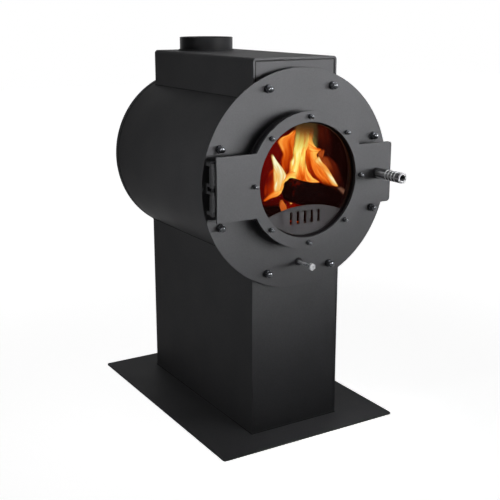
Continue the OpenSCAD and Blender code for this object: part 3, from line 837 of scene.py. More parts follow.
@dataclass(frozen=True)
class CharredWood(ReliefFinish):
    """Split firewood burnt black, its bark furrowed, with a dull red glow deep in the cracks."""

    char: str = "#020101"
    bark: str = "#060202"
    roughness: float = 0.95
    specular: float = 0.03
    glow: str = "#ff3a08"
    glow_strength: float = 0.35
    check: float = 11.0     # mm between the cracks that burning opens
    patch: float = 26.0     # mm, patches that still glow
    relief: Span = (0.8, 2.0)

    def shade(self, tree: Tree) -> Socket:
        """Builds the finish's nodes.

        Args:
            tree: The material's node tree.

        Returns:
            The shader's output.
        """
        place = add_node(tree, "ShaderNodeTexCoord").outputs["Object"]
        checks = add_node(tree, "ShaderNodeTexVoronoi", {"Vector": place, "Scale": per_mm(self.check)},
                          feature="DISTANCE_TO_EDGE")
        patch = add_node(tree, "ShaderNodeTexNoise",
                         {"Vector": place, "Scale": per_mm(self.patch), "Detail": 5.0})
        tone = add_node(tree, "ShaderNodeMix",
                        {0: patch.outputs["Fac"], "A": linear(self.char), "B": linear(self.bark)},
                        data_type="RGBA")
        crack = add_node(tree, "ShaderNodeMapRange",
                         {"Value": checks.outputs["Distance"], "From Min": 0.0, "From Max": 0.05,
                          "To Min": 1.0, "To Max": 0.0})
        hot = add_node(tree, "ShaderNodeMapRange",
                       {"Value": patch.outputs["Fac"], "From Min": 0.56, "From Max": 0.7})
        lit = add_node(tree, "ShaderNodeMath", {0: crack.outputs["Result"], 1: hot.outputs["Result"]},
                       operation="MULTIPLY")
        strength = add_node(tree, "ShaderNodeMath", {0: lit.outputs[0], 1: self.glow_strength},
                            operation="MULTIPLY")
        return self.surface(tree, checks.outputs["Distance"], {
            "Base Color": tone.outputs["Result"], "Roughness": self.roughness,
            "Specular IOR Level": self.specular, "Emission Color": linear(self.glow),
            "Emission Strength": strength.outputs[0]})


@dataclass(frozen=True)
class Embers(Finish):
    """Bed of glowing coals: orange-red gaps between dark clinkers."""

    dark: str = "#0b0302"
    warm: str = "#8a1400"
    hot: str = "#ff6a18"
    strength: float = 0.9
    clinker: float = 9.0    # mm across
    draught: float = 30.0   # mm, patches that the air fans

    def shade(self, tree: Tree) -> Socket:
        """Builds the finish's nodes.

        Args:
            tree: The material's node tree.

        Returns:
            The shader's output.
        """
        place = add_node(tree, "ShaderNodeTexCoord").outputs["Object"]
        coals = add_node(tree, "ShaderNodeTexVoronoi", {"Vector": place, "Scale": per_mm(self.clinker)},
                         feature="DISTANCE_TO_EDGE")
        draught = add_node(tree, "ShaderNodeTexNoise",
                           {"Vector": place, "Scale": per_mm(self.draught), "Detail": 3.0})
        heat = add_node(tree, "ShaderNodeMath", {0: draught.outputs["Fac"], 1: coals.outputs["Distance"]},
                        operation="SUBTRACT")
        tone = add_node(tree, "ShaderNodeValToRGB", {"Fac": heat.outputs[0]},
                        stops=((0.22, self.dark), (0.42, self.warm), (0.62, self.hot)))
        return add_node(tree, "ShaderNodeEmission",
                        {"Color": tone.outputs["Color"], "Strength": self.strength}).outputs["Emission"]


class FlameHeat(Enum):
    """What burns in a tongue, as its colours from the faint edge to the hottest core."""

    FLAME = ((0.0, "#120000"), (0.12, "#2a0202"), (0.26, "#600603"), (0.38, "#a62c02"),
             (0.5, "#d8560c"), (0.62, "#f57f26"), (0.74, "#fcaf4a"), (0.86, "#fedb66"),
             (0.95, "#fff286"), (1.0, "#fffab4"))
    PALE = ((0.0, "#2a0a02"), (0.3, "#963008"), (0.55, "#e87c28"), (0.74, "#f4aa50"),
            (0.84, "#f7ca74"), (0.93, "#f6e0a4"), (1.0, "#fffcd2"))
    DULL = ((0.0, "#080000"), (0.2, "#1e0503"), (0.4, "#531605"), (0.6, "#943c14"),
            (0.8, "#bf5b20"), (1.0, "#e08a3a"))
    SMOKE = ((0.0, "#100a05"), (0.4, "#43361c"), (0.7, "#6f6c38"), (1.0, "#a9a858"))
    HAZE = ((0.0, "#060202"), (0.4, "#24110c"), (0.7, "#4a2d22"), (1.0, "#75523e"))


@dataclass(frozen=True)
class Flame(Finish):
    """Burning wood gas: a glowing sheet that clears at its edges, in streaks that run up the tongue."""

    heat: FlameHeat = FlameHeat.FLAME
    streak: float = 8.0     # mm across a streak
    run: float = 50.0       # mm along it
    strength: float = 1.2   # above 1 by what the glass takes

    def shade(self, tree: Tree) -> Socket:
        """Builds the finish's nodes.

        Args:
            tree: The material's node tree.

        Returns:
            The shader's output.
        """
        sheet = add_node(tree, "ShaderNodeAttribute", attribute_name="sheet")
        cover = add_node(tree, "ShaderNodeAttribute", attribute_name="cover")
        held = add_node(tree, "ShaderNodeSeparateXYZ", {"Vector": sheet.outputs["Vector"]})
        drawn = add_node(tree, "ShaderNodeCombineXYZ", {
            "X": add_node(tree, "ShaderNodeMath", {0: held.outputs["Y"], 1: self.streak},
                          operation="DIVIDE").outputs[0],
            "Y": add_node(tree, "ShaderNodeMath", {0: held.outputs["Z"], 1: self.run},
                          operation="DIVIDE").outputs[0]})
        gas = add_node(tree, "ShaderNodeTexNoise",
                       {"Vector": drawn.outputs["Vector"], "Scale": 1.0, "Detail": 2.0,
                        "Roughness": 0.45, "Distortion": 0.8})
        wave = add_node(tree, "ShaderNodeMapRange",
                        {"Value": gas.outputs["Fac"], "From Min": 0.3, "From Max": 0.7,
                         "To Min": 0.8, "To Max": 1.12})
        heat = add_node(tree, "ShaderNodeMath", {0: held.outputs["X"], 1: wave.outputs["Result"]},
                        operation="MULTIPLY")
        tone = add_node(tree, "ShaderNodeValToRGB", {"Fac": heat.outputs[0]}, stops=self.heat.value)
        light = add_node(tree, "ShaderNodeEmission",
                         {"Color": tone.outputs["Color"], "Strength": self.strength})
        clear = add_node(tree, "ShaderNodeBsdfTransparent")
        return add_node(tree, "ShaderNodeMixShader",
                        {0: cover.outputs["Fac"], 1: clear.outputs["BSDF"],
                         2: light.outputs["Emission"]}).outputs["Shader"]


PAINT = StovePaint("heat_paint_on_sheet_steel")
BARREL_PAINT = StovePaint("heat_paint_sooted_inside", sooted_bore=True)
# Painted shade: the flue spigot's heat paint is drawn much darker than the same paint on the rest of the
# stove.
SHADED_FLUE_PAINT = StovePaint("heat_paint_darkened_as_painted_shade", tint="#222224", shade_tint="#1a1a1c",
                        roughness=0.42, specular=0.14)
# Painted shade: the beads' paint is drawn darker than the paint on the sheet, so that each seam shows dark.
SHADED_WELD = WeldPaint("weld_bead_drawn_dark_as_painted_shade")
STAINLESS = TurnedStainless("turned_stainless")
BLACKENED = BlackOxide("black_oxide_steel")
# Painted shade: a darker copy of the turned stainless, its tints standing in for the dark surroundings that
# the nuts and studs reflect.
SHADED_NUTS = TurnedStainless("stainless_nuts_darkened_as_painted_shade", tint="#94969a", worn="#5e6064", roughness=0.24)
ZINC = ZincPlate("zinc_plated_steel")
GRIP = SatinGrip("turned_aluminium_tube")
SOOTY = SootySteel("fire_blackened_steel")
IRON = CastGrate("sand_cast_iron")
GLASS = CeramicGlass("drawn_ceramic_glass")
ROPE = FibreRope("braided_glass_fibre_rope")
TAPE = WovenTape("woven_glass_fibre_tape")


# ---- Edges of the CAD pieces ----

@dataclass(frozen=True)
class EdgeBreak:
    """Rounds the sharp edges of CAD nodes a little, as deburring and paint do."""

    group_name: str = "close_seams"
    seam: float = 0.01      # mm, within which a CAD mesh's split points are one
    flat: float = 0.3       # degrees, within which two faces are one
    sharp: float = 35.0     # degrees, from which an edge is broken
    weight: int = 100       # how much more a large face bends the shading than a small one

    def group(self) -> Tree:
        """Makes the node group that joins a CAD mesh's split points and drops its stored normals.

        Returns:
            The group, made the first time it is asked for.
        """
        known = bpy.data.node_groups.get(self.group_name)
        if known:
            return known
        tree = bpy.data.node_groups.new(self.group_name, "GeometryNodeTree")
        for way in ("INPUT", "OUTPUT"):
            tree.interface.new_socket("Geometry", in_out=way, socket_type="NodeSocketGeometry")
        flow = add_node(tree, "NodeGroupInput").outputs[0]
        flow = add_node(tree, "GeometryNodeMergeByDistance",
                        {"Geometry": flow, "Distance": self.seam * MM}).outputs[0]
        for stored in ("custom_normal", "sharp_edge", "sharp_face"):
            flow = add_node(tree, "GeometryNodeRemoveAttribute",
                            {"Geometry": flow, "Name": stored}).outputs[0]
        add_node(tree, "NodeGroupOutput", {0: flow})
        return tree

    def on(self, width: float, *names: str, segments: int = 2) -> None:
        """Adds the rounding to CAD nodes.

        Args:
            width: Width of the broken edge in millimetres.
            *names: The CAD nodes.
            segments: Steps across the rounding.
        """
        for name in names:
            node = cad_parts[name]
            node.modifiers.new(self.group_name, "NODES").node_group = self.group()
            flat = node.modifiers.new("flat_faces", "DECIMATE")
            flat.decimate_type = "DISSOLVE"
            flat.angle_limit = math.radians(self.flat)
            edge = node.modifiers.new("broken_edges", "BEVEL")
            edge.width = width * MM
            edge.segments = segments
            edge.limit_method = "ANGLE"
            edge.angle_limit = math.radians(self.sharp)
            edge.harden_normals = False
            even = node.modifiers.new("even_shading", "WEIGHTED_NORMAL")
            even.weight = self.weight
            even.keep_sharp = False


EDGES = EdgeBreak()


@dataclass(frozen=True)
class WeldBead:
    """A fillet weld laid in overlapping ripples along a joint."""

    radius: float = 1.8     # mm
    ripple: float = 2.6     # mm from one ripple to the next
    step: float = 0.65      # mm between points along the bead
    sides: int = 8
    dip: float = 0.14       # share of the radius lost between two ripples
    stray: float = 0.08     # share of the radius by which the bead thickens and thins
    stray_rate: float = 0.11    # how fast it does, a point

    def lay(self, name: str, runs: Sequence[Sequence[Vector]], closed: bool, body: str = "stove",
            radius: Optional[float] = None) -> Obj:
        """Lays beads along joints and puts them on a body.

        Args:
            name: Name of the piece.
            runs: Corner points of each joint.
            closed: Whether each run joins up with its own start.
            body: The body that carries the bead.
            radius: Radius in millimetres, if not the usual one.

        Returns:
            The piece.
        """
        size = (radius or self.radius) * MM
        parts = []
        for run in runs:
            path = evenly(run, self.step * MM, closed)
            parts.append(sweep(path, self.section(size), self.sides, closed))
        bead = piece(name, joined(parts), SHADED_WELD)
        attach(bead, body)
        return bead

    def section(self, size: float) -> Section:
        """The bead's round section, whose radius swells and dips along it.

        Args:
            size: Its radius in metres.

        Returns:
            What gives the section's offsets at a point along the bead and a turn from 0 to 1.
        """
        def at(i: int, turn: float) -> Span:
            """Offsets of the bead's section.

            Args:
                i: Point along the bead.
                turn: Turn round it, from 0 to 1.

            Returns:
                The two offsets in metres.
            """
            swell = 1 - self.dip + self.dip * abs(math.cos(math.pi * i * self.step / self.ripple))
            wander = 1 + self.stray * noise.noise(Vector((i * self.stray_rate, 3.7, size / MM)))
            a = 2 * math.pi * turn
            return math.cos(a) * size * swell * wander, math.sin(a) * size * swell * wander
        return at


BEAD = WeldBead()


# ---- Sub-assemblies ----
# Their sizes are millimetres off the stations, as in the CAD source. "proud" and "inset" say how far
# the middle of a bead stands off the surface, or sits within the edge, that it is laid on.

@dataclass
class Assembly:
    """A part of the stove, which adds its own pieces and dresses its CAD nodes."""

    def build(self) -> List[Obj]:
        """Makes the pieces that the CAD nodes don't hold, if any.

        Returns:
            The objects.
        """
        return []

    def dress(self) -> None:
        """Gives the CAD nodes their finishes and edges."""
        raise NotImplementedError


@dataclass
class Stand(Assembly):
    """Floor plate and box pedestal."""

    half_w: float = 102.0
    front: float = 6.0
    rear: float = 448.0
    bend: float = 6.0
    bend_steps: int = 8
    plate_top: float = 4.0
    bead: float = 1.5
    proud: float = 0.4
    panel_inset: float = 2.6
    panel_recess: float = 0.6

    def build(self) -> List[Obj]:
        """Lays the weld round the pedestal's foot.

        Returns:
            The pieces.
        """
        foot = self.plate_top - AXIS_Z / MM
        w, r, bend_y = self.half_w + self.proud, self.bend, self.rear - self.bend
        outline = [(-w, self.front), (-w, bend_y)]
        for side, first in ((-1, 180), (1, 90)):
            for i in range(1, self.bend_steps):
                a = math.radians(first - i * 90 / self.bend_steps)
                outline.append((side * (w - r) + r * math.cos(a), bend_y + r * math.sin(a)))
        panel_w, panel_y = w - self.panel_inset, self.front + self.panel_recess
        outline += [(w, bend_y), (w, self.front), (panel_w, panel_y), (-panel_w, panel_y)]
        return [BEAD.lay("foot_weld", [[station(x, y, foot) for x, y in outline]], True, radius=self.bead)]

    def dress(self) -> None:
        """Gives the CAD nodes their paint and edges."""
        PAINT.on("base_plate", "pedestal_wrap", "pedestal_front_panel")
        EDGES.on(0.8, "base_plate")
        EDGES.on(0.6, "pedestal_wrap", "pedestal_front_panel")


@dataclass
class Barrel(Assembly):
    """Horizontal barrel with its ring, rear cap, gasket and bolted front flange."""

    radius: float = 181.0
    ring_rear: float = 10.0
    ring_bead: float = 1.8
    ring_proud: float = 0.6
    cap_seam: float = 447.0
    cap_bead: float = 1.3
    cap_inset: float = 0.5
    foot_half_w: float = 102.0
    foot_front: float = 11.0
    foot_rear: float = 442.0
    foot_bead: float = 1.5
    foot_proud: float = 0.2

    def build(self) -> List[Obj]:
        """Lays the welds of the barrel.

        Returns:
            The pieces.
        """
        w = self.foot_half_w + self.foot_proud
        low = -math.sqrt(self.radius ** 2 - self.foot_half_w ** 2) - self.foot_proud
        saddle = [[station(x, self.foot_front, low), station(x, self.foot_rear, low)] for x in (-w, w)]
        seam = circle_points(station(0, self.cap_seam, 0), (self.radius - self.cap_inset) * MM,
                             LARGE_RING, True)
        ring = circle_points(station(0, self.ring_rear, 0), (self.radius + self.ring_proud) * MM,
                             LARGE_RING, True)
        return [BEAD.lay("saddle_welds", saddle, False, radius=self.foot_bead),
                BEAD.lay("rear_cap_weld", [seam], True, radius=self.cap_bead),
                BEAD.lay("mouth_ring_weld", [ring], True, radius=self.ring_bead)]

    def dress(self) -> None:
        """Gives the CAD nodes their finishes and edges."""
        BARREL_PAINT.on("barrel", "rear_cap")
        PAINT.on("barrel_ring", "front_flange")
        TAPE.on("flange_gasket")
        SHADED_NUTS.on("flange_studs", "flange_cap_nuts")
        BLACKENED.on("flange_washers")
        EDGES.on(0.7, "front_flange", "barrel_ring")
        EDGES.on(0.3, "flange_washers", "flange_cap_nuts")
        EDGES.on(0.5, "barrel")


@dataclass
class TopBox(Assembly):
    """Folded box on the barrel, with its end panels and the flue spigot."""

    half_w: float = 94.0
    front: float = 16.0
    rear: float = 430.0
    top: float = 230.0
    sheet: float = 4.0
    barrel_r: float = 181.0
    foot_bead: float = 1.2
    foot_proud: float = 0.2
    panel_bead: float = 1.7
    panel_inset: float = 1.3
    panel_foot: float = 1.0     # where its bead starts above the barrel
    flue_y: float = 366.0
    flue_r: float = 57.5
    flue_bead: float = 2.8
    flue_proud: float = 0.6

    def panel_seam(self, y: float) -> List[Vector]:
        """The joint between the folded sheet and an end panel.

        Args:
            y: Where the middle of its bead lies.

        Returns:
            The joint's corner points.
        """
        within = self.sheet + self.panel_inset
        x, high = self.half_w - within, self.top - within
        low = math.sqrt(self.barrel_r ** 2 - x ** 2) + self.panel_foot
        return [station(-x, y, low), station(-x, y, high), station(x, y, high), station(x, y, low)]

    def build(self) -> List[Obj]:
        """Lays the welds along the barrel, in the end panels' joints and round the spigot's foot.

        Returns:
            The pieces.
        """
        w = self.half_w + self.foot_proud
        low = math.sqrt(self.barrel_r ** 2 - self.half_w ** 2) + self.foot_proud
        seams = [[station(x, self.front, low), station(x, self.rear, low)] for x in (-w, w)]
        ends = [self.panel_seam(self.front + self.panel_bead), self.panel_seam(self.rear - self.panel_bead)]
        foot = circle_points(station(0, self.flue_y, self.top), (self.flue_r + self.flue_proud) * MM,
                             SMALL_RING, False)
        return [BEAD.lay("box_welds", seams, False, radius=self.foot_bead),
                BEAD.lay("box_panel_welds", ends, False, radius=self.panel_bead),
                BEAD.lay("spigot_weld", [foot], True, radius=self.flue_bead)]

    def dress(self) -> None:
        """Gives the CAD nodes their paint and edges."""
        PAINT.on("box_wrap", "box_front_panel", "box_rear_panel")
        SHADED_FLUE_PAINT.on("flue_spigot")
        EDGES.on(0.6, "box_wrap", "box_front_panel", "box_rear_panel")
        EDGES.on(0.5, "flue_spigot")


@dataclass
class Firebox(Assembly):
    """Grate, baffle and the ledges that carry them."""

    def dress(self) -> None:
        """Gives the CAD nodes their finishes and edges."""
        IRON.on("grate")
        SOOTY.on("smoke_baffle", "baffle_ledges", "grate_rails")
        EDGES.on(1.2, "grate")


@dataclass
class AirControl(Assembly):
    """Rod, damper plate and the seat that it slides on."""

    def dress(self) -> None:
        """Gives the CAD nodes their finishes and edges."""
        SOOTY.on("air_shelf", "damper_guides", "damper_plate")
        BLACKENED.on("rod_bush")
        ZINC.on("air_rod", "air_rod_head", "rod_lock_nut")
        EDGES.on(0.4, "air_rod", "air_rod_head", "rod_lock_nut", "rod_bush")


@dataclass
class Hinge(Assembly):
    """Brackets, pin and the sleeves that the door hangs on."""

    left: float = -203.2
    right: float = -193.4
    heights: Tuple[Span, ...] = ((40.9, 47.9), (-47.9, -40.9), (-9.5, 9.5))
    bead: float = 1.2
    proud: float = 0.3

    def build(self) -> List[Obj]:
        """Lays the welds round the brackets' feet on the flange.

        Returns:
            The pieces.
        """
        runs = []
        for low, high in self.heights:
            corners = ((self.left, low), (self.right, low), (self.right, high), (self.left, high))
            runs.append([door_station(x, -self.proud, z) for x, z in corners])
        return [BEAD.lay("hinge_bracket_welds", runs, True, radius=self.bead)]

    def dress(self) -> None:
        """Gives the CAD nodes their finishes and edges."""
        PAINT.on("hinge_top_bracket", "hinge_middle_bracket", "hinge_bottom_bracket",
                 "hinge_upper_sleeve", "hinge_lower_sleeve")
        BLACKENED.on("hinge_pin")
        EDGES.on(0.6, "hinge_top_bracket", "hinge_middle_bracket", "hinge_bottom_bracket",
                 "hinge_upper_sleeve", "hinge_lower_sleeve", "hinge_pin")


@dataclass
class BraidedSeal:
    """Black glass-fibre rope, braided from two sets of strands, in the door's channel."""

    radius: float = 120.0
    width: float = 11.6
    front: float = -18.0
    rear: float = -10.3
    squareness: float = 0.6     # power of the section's curve, where 1 is round
    strand: float = 1.45    # radius of one strand
    strand_sides: int = 6
    strands: int = 8        # in each direction
    weave: float = 0.35     # how far a strand passes over and under the others
    turns: int = 19
    points_per_turn: int = 18
    core_share: float = 0.98
    core_rings: int = 180
    core_sides: int = 12

    def build(self) -> List[Obj]:
        """Braids the rope on a core.

        Returns:
            The piece that stands for the CAD ring, in a list.
        """
        middle = (self.front + self.rear) / 2
        half_w = self.width / 2 - self.strand - self.weave
        half_h = (self.rear - self.front) / 2 - self.strand - self.weave
        count = self.turns * self.points_per_turn
        parts = [self.core(middle, half_w, half_h)]
        for way in (1, -1):
            for k in range(self.strands):
                path = []
                for i in range(count):
                    ring = 2 * math.pi * i / count
                    turn = way * self.turns * ring + 2 * math.pi * k / self.strands
                    lift = self.weave * way * math.cos(self.strands * self.turns * ring)
                    path.append(self.place(ring, turn, middle, half_w + lift, half_h + lift))
                parts.append(sweep(path, self.round_section, self.strand_sides, True))
        seal = piece("braided_rope_seal", joined(parts), ROPE)
        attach(seal, "door")
        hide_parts("door_rope_seal")
        return [seal]

    def round_section(self, _: int, turn: float) -> Span:
        """Round section of one strand, the same all along it."""
        a = 2 * math.pi * turn
        return math.cos(a) * self.strand * MM, math.sin(a) * self.strand * MM

    def place(self, ring: float, turn: float, middle: float, half_w: float, half_h: float) -> Vector:
        """A point on the rope's squarish section.

        Args:
            ring: Angle round the door.
            turn: Angle round the section.
            middle: Where the section's middle lies in front of the flange.
            half_w: Half its width across the channel.
            half_h: Half its height out of the channel.

        Returns:
            The point.
        """
        c, s = math.cos(turn), math.sin(turn)
        r = self.radius + half_w * math.copysign(abs(c) ** self.squareness, c)
        up = half_h * math.copysign(abs(s) ** self.squareness, s)
        return door_station(r * math.cos(ring), middle + up, r * math.sin(ring))

    def core(self, middle: float, half_w: float, half_h: float) -> MeshData:
        """The filling under the strands.

        Args:
            middle: Where the section's middle lies in front of the flange.
            half_w: Half the width that the strands follow.
            half_h: Half the height that they follow.

        Returns:
            Its points and faces.
        """
        points = [self.place(2 * math.pi * i / self.core_rings, 2 * math.pi * j / self.core_sides, middle,
                             half_w * self.core_share, half_h * self.core_share)
                  for i in range(self.core_rings) for j in range(self.core_sides)]
        return points, tube_faces(self.core_rings, self.core_sides, True)


@dataclass
class Door(Assembly):
    """Glazed door plate with its clamp ring, log guard, seals and screws, and the collar it closes on."""

    collar_r: float = 122.0
    bead: float = 1.8
    bead_out: float = 0.5       # off the collar
    proud: float = 0.4          # off the flange

    def build(self) -> List[Obj]:
        """Makes the rope seal and the collar's weld.

        Returns:
            The pieces.
        """
        ring = circle_points(door_station(0, -self.proud, 0), (self.collar_r + self.bead_out) * MM,
                             SMALL_RING, True)
        return BraidedSeal().build() + [BEAD.lay("collar_weld", [ring], True, radius=self.bead)]

    def dress(self) -> None:
        """Gives the CAD nodes their finishes and edges."""
        PAINT.on("door_plate", "door_collar", "log_guard")
        GLASS.on("door_glass")
        TAPE.on("glass_front_seal")
        BLACKENED.on("glass_retainer")
        SHADED_NUTS.on("door_studs", "door_cap_nuts")
        BLACKENED.on("door_washers")
        EDGES.on(0.8, "door_plate")
        EDGES.on(0.4, "door_collar", "log_guard", "glass_retainer")
        EDGES.on(0.2, "door_washers", "door_cap_nuts")


@dataclass
class Latch(Assembly):
    """Hollow turned handle, its spindle, the cam behind the door and the keeper."""

    keeper_x: float = 190.0
    keeper_t: float = 3.5
    keeper_half_h: float = 12.0
    bead: float = 1.2
    side_proud: float = 0.3
    end_proud: float = 0.2

    def build(self) -> List[Obj]:
        """Lays the weld round the keeper's foot.

        Returns:
            The pieces.
        """
        left, right = self.keeper_x - self.side_proud, self.keeper_x + self.keeper_t + self.side_proud
        high = self.keeper_half_h + self.end_proud
        foot = [door_station(x, -self.side_proud, z)
                for x, z in ((left, -high), (right, -high), (right, high), (left, high))]
        return [BEAD.lay("keeper_weld", [foot], True, radius=self.bead)]

    def dress(self) -> None:
        """Gives the CAD nodes their finishes and edges."""
        GRIP.on("handle_grip")
        STAINLESS.on("handle_spindle", "cam_nut")
        PAINT.on("handle_collar", "latch_keeper")
        SOOTY.on("latch_cam")
        EDGES.on(0.5, "handle_grip", "handle_collar", "latch_keeper", "latch_cam", "cam_nut")


# ---- Fire, which isn't part of the stove ----

@dataclass(frozen=True)
class Tongue:
    """One tongue of flame between a left and a right edge.

    Its rows are (left x, left z, right x, right z) in mm off the barrel's axis, from its foot to its tip.
    """

    name: str
    heat: FlameHeat
    depth: float                # mm behind the flange's front face
    heats: Tuple[float, ...]    # how hot it burns, evenly from its foot to its tip
    rows: Tuple[Edge, ...]
    soft: float = 4.0           # mm that an edge takes to show fully
    rim: float = 0.0            # extra heat just inside the edges
    lean: float = 0.0           # extra heat to the right, and as much less to the left
    base: float = 0.1           # share of its length that fades in at the foot
    tip: float = 0.2            # share of its length that fades out at the tip
    bow: float = 5.0            # mm that its middle bows forward
    rim_width: float = 3.0      # mm
    edge_heat: float = 0.74     # share of its heat that is left at an edge
    spill: float = 0.2          # share of the soft edge that lies outside the rows
    edge_reach: float = 1.8     # how many soft edges deep the cooling goes
    flicker: float = 0.08       # share of its width by which an edge wanders
    flicker_rate: float = 0.12  # how fast it does, a mm along
    steps: int = 12             # rows of faces from one row to the next
    columns: int = 20           # faces across

    def heat_at(self, v: float) -> float:
        """How hot the flame burns along its length.

        Args:
            v: Share of its length from its foot.

        Returns:
            The heat, between those given.
        """
        step = v * (len(self.heats) - 1)
        low = min(int(step), len(self.heats) - 2)
        return self.heats[low] + (self.heats[low + 1] - self.heats[low]) * (step - low)

    def build(self) -> Obj:
        """Makes the thin sheet of flame, with its heat and its cover for the finish.

        Returns:
            The object.
        """
        rows = smooth_rows(self.rows, self.steps)
        seed = 0.37 * sum(map(ord, self.name))
        points, sheet, cover = [], [], []
        along = 0.0
        middle_before: Optional[Vector] = None
        for i, (xl, zl, xr, zr) in enumerate(rows):
            v = i / (len(rows) - 1)
            left, right = Vector((xl, 0, zl)), Vector((xr, 0, zr))
            middle, half = (left + right) / 2, (right - left).length / 2 + self.spill * self.soft
            across = (right - left).normalized()
            if middle_before is not None:
                along += (middle - middle_before).length
            middle_before = middle
            flick = [1 + self.flicker * noise.noise(Vector((along * self.flicker_rate, side * 3.1, seed)))
                     for side in (-1, 1)]
            level = self.heat_at(v)
            for j in range(self.columns + 1):
                u = 2 * j / self.columns - 1
                reach = u * half * flick[u > 0]
                spot = middle + across * reach
                points.append(station(spot.x, self.depth - self.bow * (1 - u * u), spot.z))
                inward = (1 - abs(u)) * half
                rim = self.rim * math.exp(-((inward - self.soft) / self.rim_width) ** 2)
                deep = ease(inward / (self.edge_reach * self.soft))
                cool = self.edge_heat + (1 - self.edge_heat) * deep
                sheet.append(((level + rim + self.lean * u) * cool, reach + seed, along + seed))
                cover.append(ease(inward / self.soft) * ease(v / self.base) * ease((1 - v) / self.tip))
        made = piece("flame_" + self.name, (points, grid_faces(len(rows) - 1, self.columns)),
                     Flame("flame_" + self.heat.name.lower(), self.heat))
        layer = made.data.attributes.new("sheet", "FLOAT_VECTOR", "POINT")
        layer.data.foreach_set("vector", [value for spot in sheet for value in spot])
        made.data.attributes.new("cover", "FLOAT", "POINT").data.foreach_set("value", cover)
        made.visible_diffuse = False
        return made


def ease(t: float) -> float:
    """Eases a share from 0 to 1."""
    t = min(1.0, max(0.0, t))
    return t * t * (3 - 2 * t)


def smooth_rows(rows: Sequence[Edge], steps: int) -> List[Edge]:
    """Runs a smooth curve through rows of numbers.

    Args:
        rows: The rows that it passes through.
        steps: Steps from one of them to the next.

    Returns:
        The finer rows, from the first to the last.
    """
    made: List[Edge] = []
    knots = [rows[0], *rows, rows[-1]]
    for a, b, c, d in zip(knots, knots[1:], knots[2:], knots[3:]):
        for k in range(steps):
            t = k / steps
            made.append(tuple(0.5 * (2 * q + (r - o) * t + (2 * o - 5 * q + 4 * r - e) * t * t
                                     + (3 * q - o - 3 * r + e) * t ** 3)
                              for o, q, r, e in zip(a, b, c, d)))
    made.append(rows[-1])
    return made


@dataclass(frozen=True)
class Log:
    """A split log between two stations, with furrowed bark and worn ends."""

    name: str
    start: Triple
    end: Triple
    radius: float               # mm
    steps: int = 64
    sides: int = 48
    worn: float = 0.3           # share of the radius lost at an end
    worn_rate: float = 1.2      # how soon it comes back, a step
    lumps: float = 0.1          # share of the radius
    lump_rate: Span = (1.5, 0.03)       # round the log, and along it a step
    furrows: float = 0.12       # share of the radius
    furrow_rate: Span = (3.2, 0.05)     # round the log, and along it a step
    spread: float = 50.0        # range of the random offset that makes each log its own

    def build(self) -> Obj:
        """Makes the log.

        Returns:
            The object.
        """
        a, b = station(*self.start), station(*self.end)
        offset = random.uniform(0, self.spread)
        path = [a.lerp(b, i / self.steps) for i in range(self.steps + 1)]

        def section(i: int, turn: float) -> Span:
            """Offsets of the log's section.

            Args:
                i: Point along the log.
                turn: Turn round it, from 0 to 1.

            Returns:
                The two offsets in metres.
            """
            angle = 2 * math.pi * turn
            c, s = math.cos(angle), math.sin(angle)
            taper = 1 - self.worn * math.exp(-min(i, self.steps - i) * self.worn_rate)
            round_rate, along_rate = self.lump_rate
            lump = noise.noise(Vector((c * round_rate + offset, s * round_rate, i * along_rate)))
            round_rate, along_rate = self.furrow_rate
            furrow = abs(noise.noise(Vector((angle * round_rate, offset, i * along_rate))))
            r = self.radius * MM * taper * (1 + self.lumps * lump - self.furrows * furrow)
            return c * r, s * r

        return piece(self.name, sweep(path, section, self.sides, False), CharredWood("charred_firewood"))


@dataclass(frozen=True)
class EmberBed:
    """A lumpy bed of coals on the grate, in mm."""

    half_w: float = 92.0
    front: float = 34.0
    length: float = 250.0
    floor: float = -121.0
    least: float = 0.4          # thickness at its thinnest
    heap: float = 16.0          # thickness in its middle
    heap_half: float = 100.0    # where the heap would run out
    lump: float = 5.0           # how far its lumps stand up or sink
    lump_rate: float = 0.11     # how close they lie, a mm
    grid: Tuple[int, int] = (90, 70)

    def build(self) -> Obj:
        """Makes the bed.

        Returns:
            The object.
        """
        points = []
        deep, across = self.grid
        for j in range(deep + 1):
            for i in range(across + 1):
                x = -self.half_w + 2 * self.half_w * i / across
                y = self.front + self.length * j / deep
                lump = noise.noise(Vector((x * self.lump_rate, y * self.lump_rate, 0.3))) * self.lump
                heap = self.heap * (1 - (x / self.heap_half) ** 2)
                points.append(station(x, y, self.floor + max(self.least, heap + lump)))
        return piece("ember_bed", (points, grid_faces(deep, across)), Embers("glowing_coals"))


@dataclass(frozen=True)
class Glow:
    """Light that the fire throws inside the barrel."""

    name: str
    place: Triple               # its station
    tint: str
    watts: float
    size: float = 0.03          # m

    def build(self) -> Obj:
        """Makes the lamp, which lights matt surfaces only.

        Returns:
            The lamp.
        """
        data = bpy.data.lights.new(self.name, "POINT")
        data.energy = self.watts
        data.color = linear(self.tint)[:3]
        data.shadow_soft_size = self.size
        lamp = bpy.data.objects.new(self.name, data)
        lamp.location = station(*self.place)
        lamp.visible_camera = lamp.visible_glossy = lamp.visible_transmission = False
        bpy.context.scene.collection.objects.link(lamp)
        return lamp


@dataclass
class Fire:
    """Logs, embers and flames behind the glass, only there to show the stove in use."""

    tongues: Tuple[Tongue, ...]
    seed: int = 7
    logs: Tuple[Log, ...] = (
        Log("log_front", (3, 48, -25), (139, 42, -68), 24.0),
        Log("log_left", (-110, 74, -84), (-10, 52, -76), 18.0),
        Log("log_rear", (-96, 150, -98), (120, 136, -96), 24.0),
    )
    bed: EmberBed = EmberBed()
    glows: Tuple[Glow, ...] = (
        Glow("grate_glow", (0, 160, -70), "#ff6a20", 0.06),
        Glow("rear_glow", (-20, 300, 20), "#ff1404", 0.17),
    )

    def build(self) -> List[Obj]:
        """Makes the logs, embers and flames, and the light they throw.

        Returns:
            The pieces, without the lamps.
        """
        random.seed(self.seed)
        made = [part.build() for part in (*self.logs, self.bed, *self.tongues)]
        for glow in self.glows:
            glow.build()
        for each in made:
            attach(each, "stove")
        return made


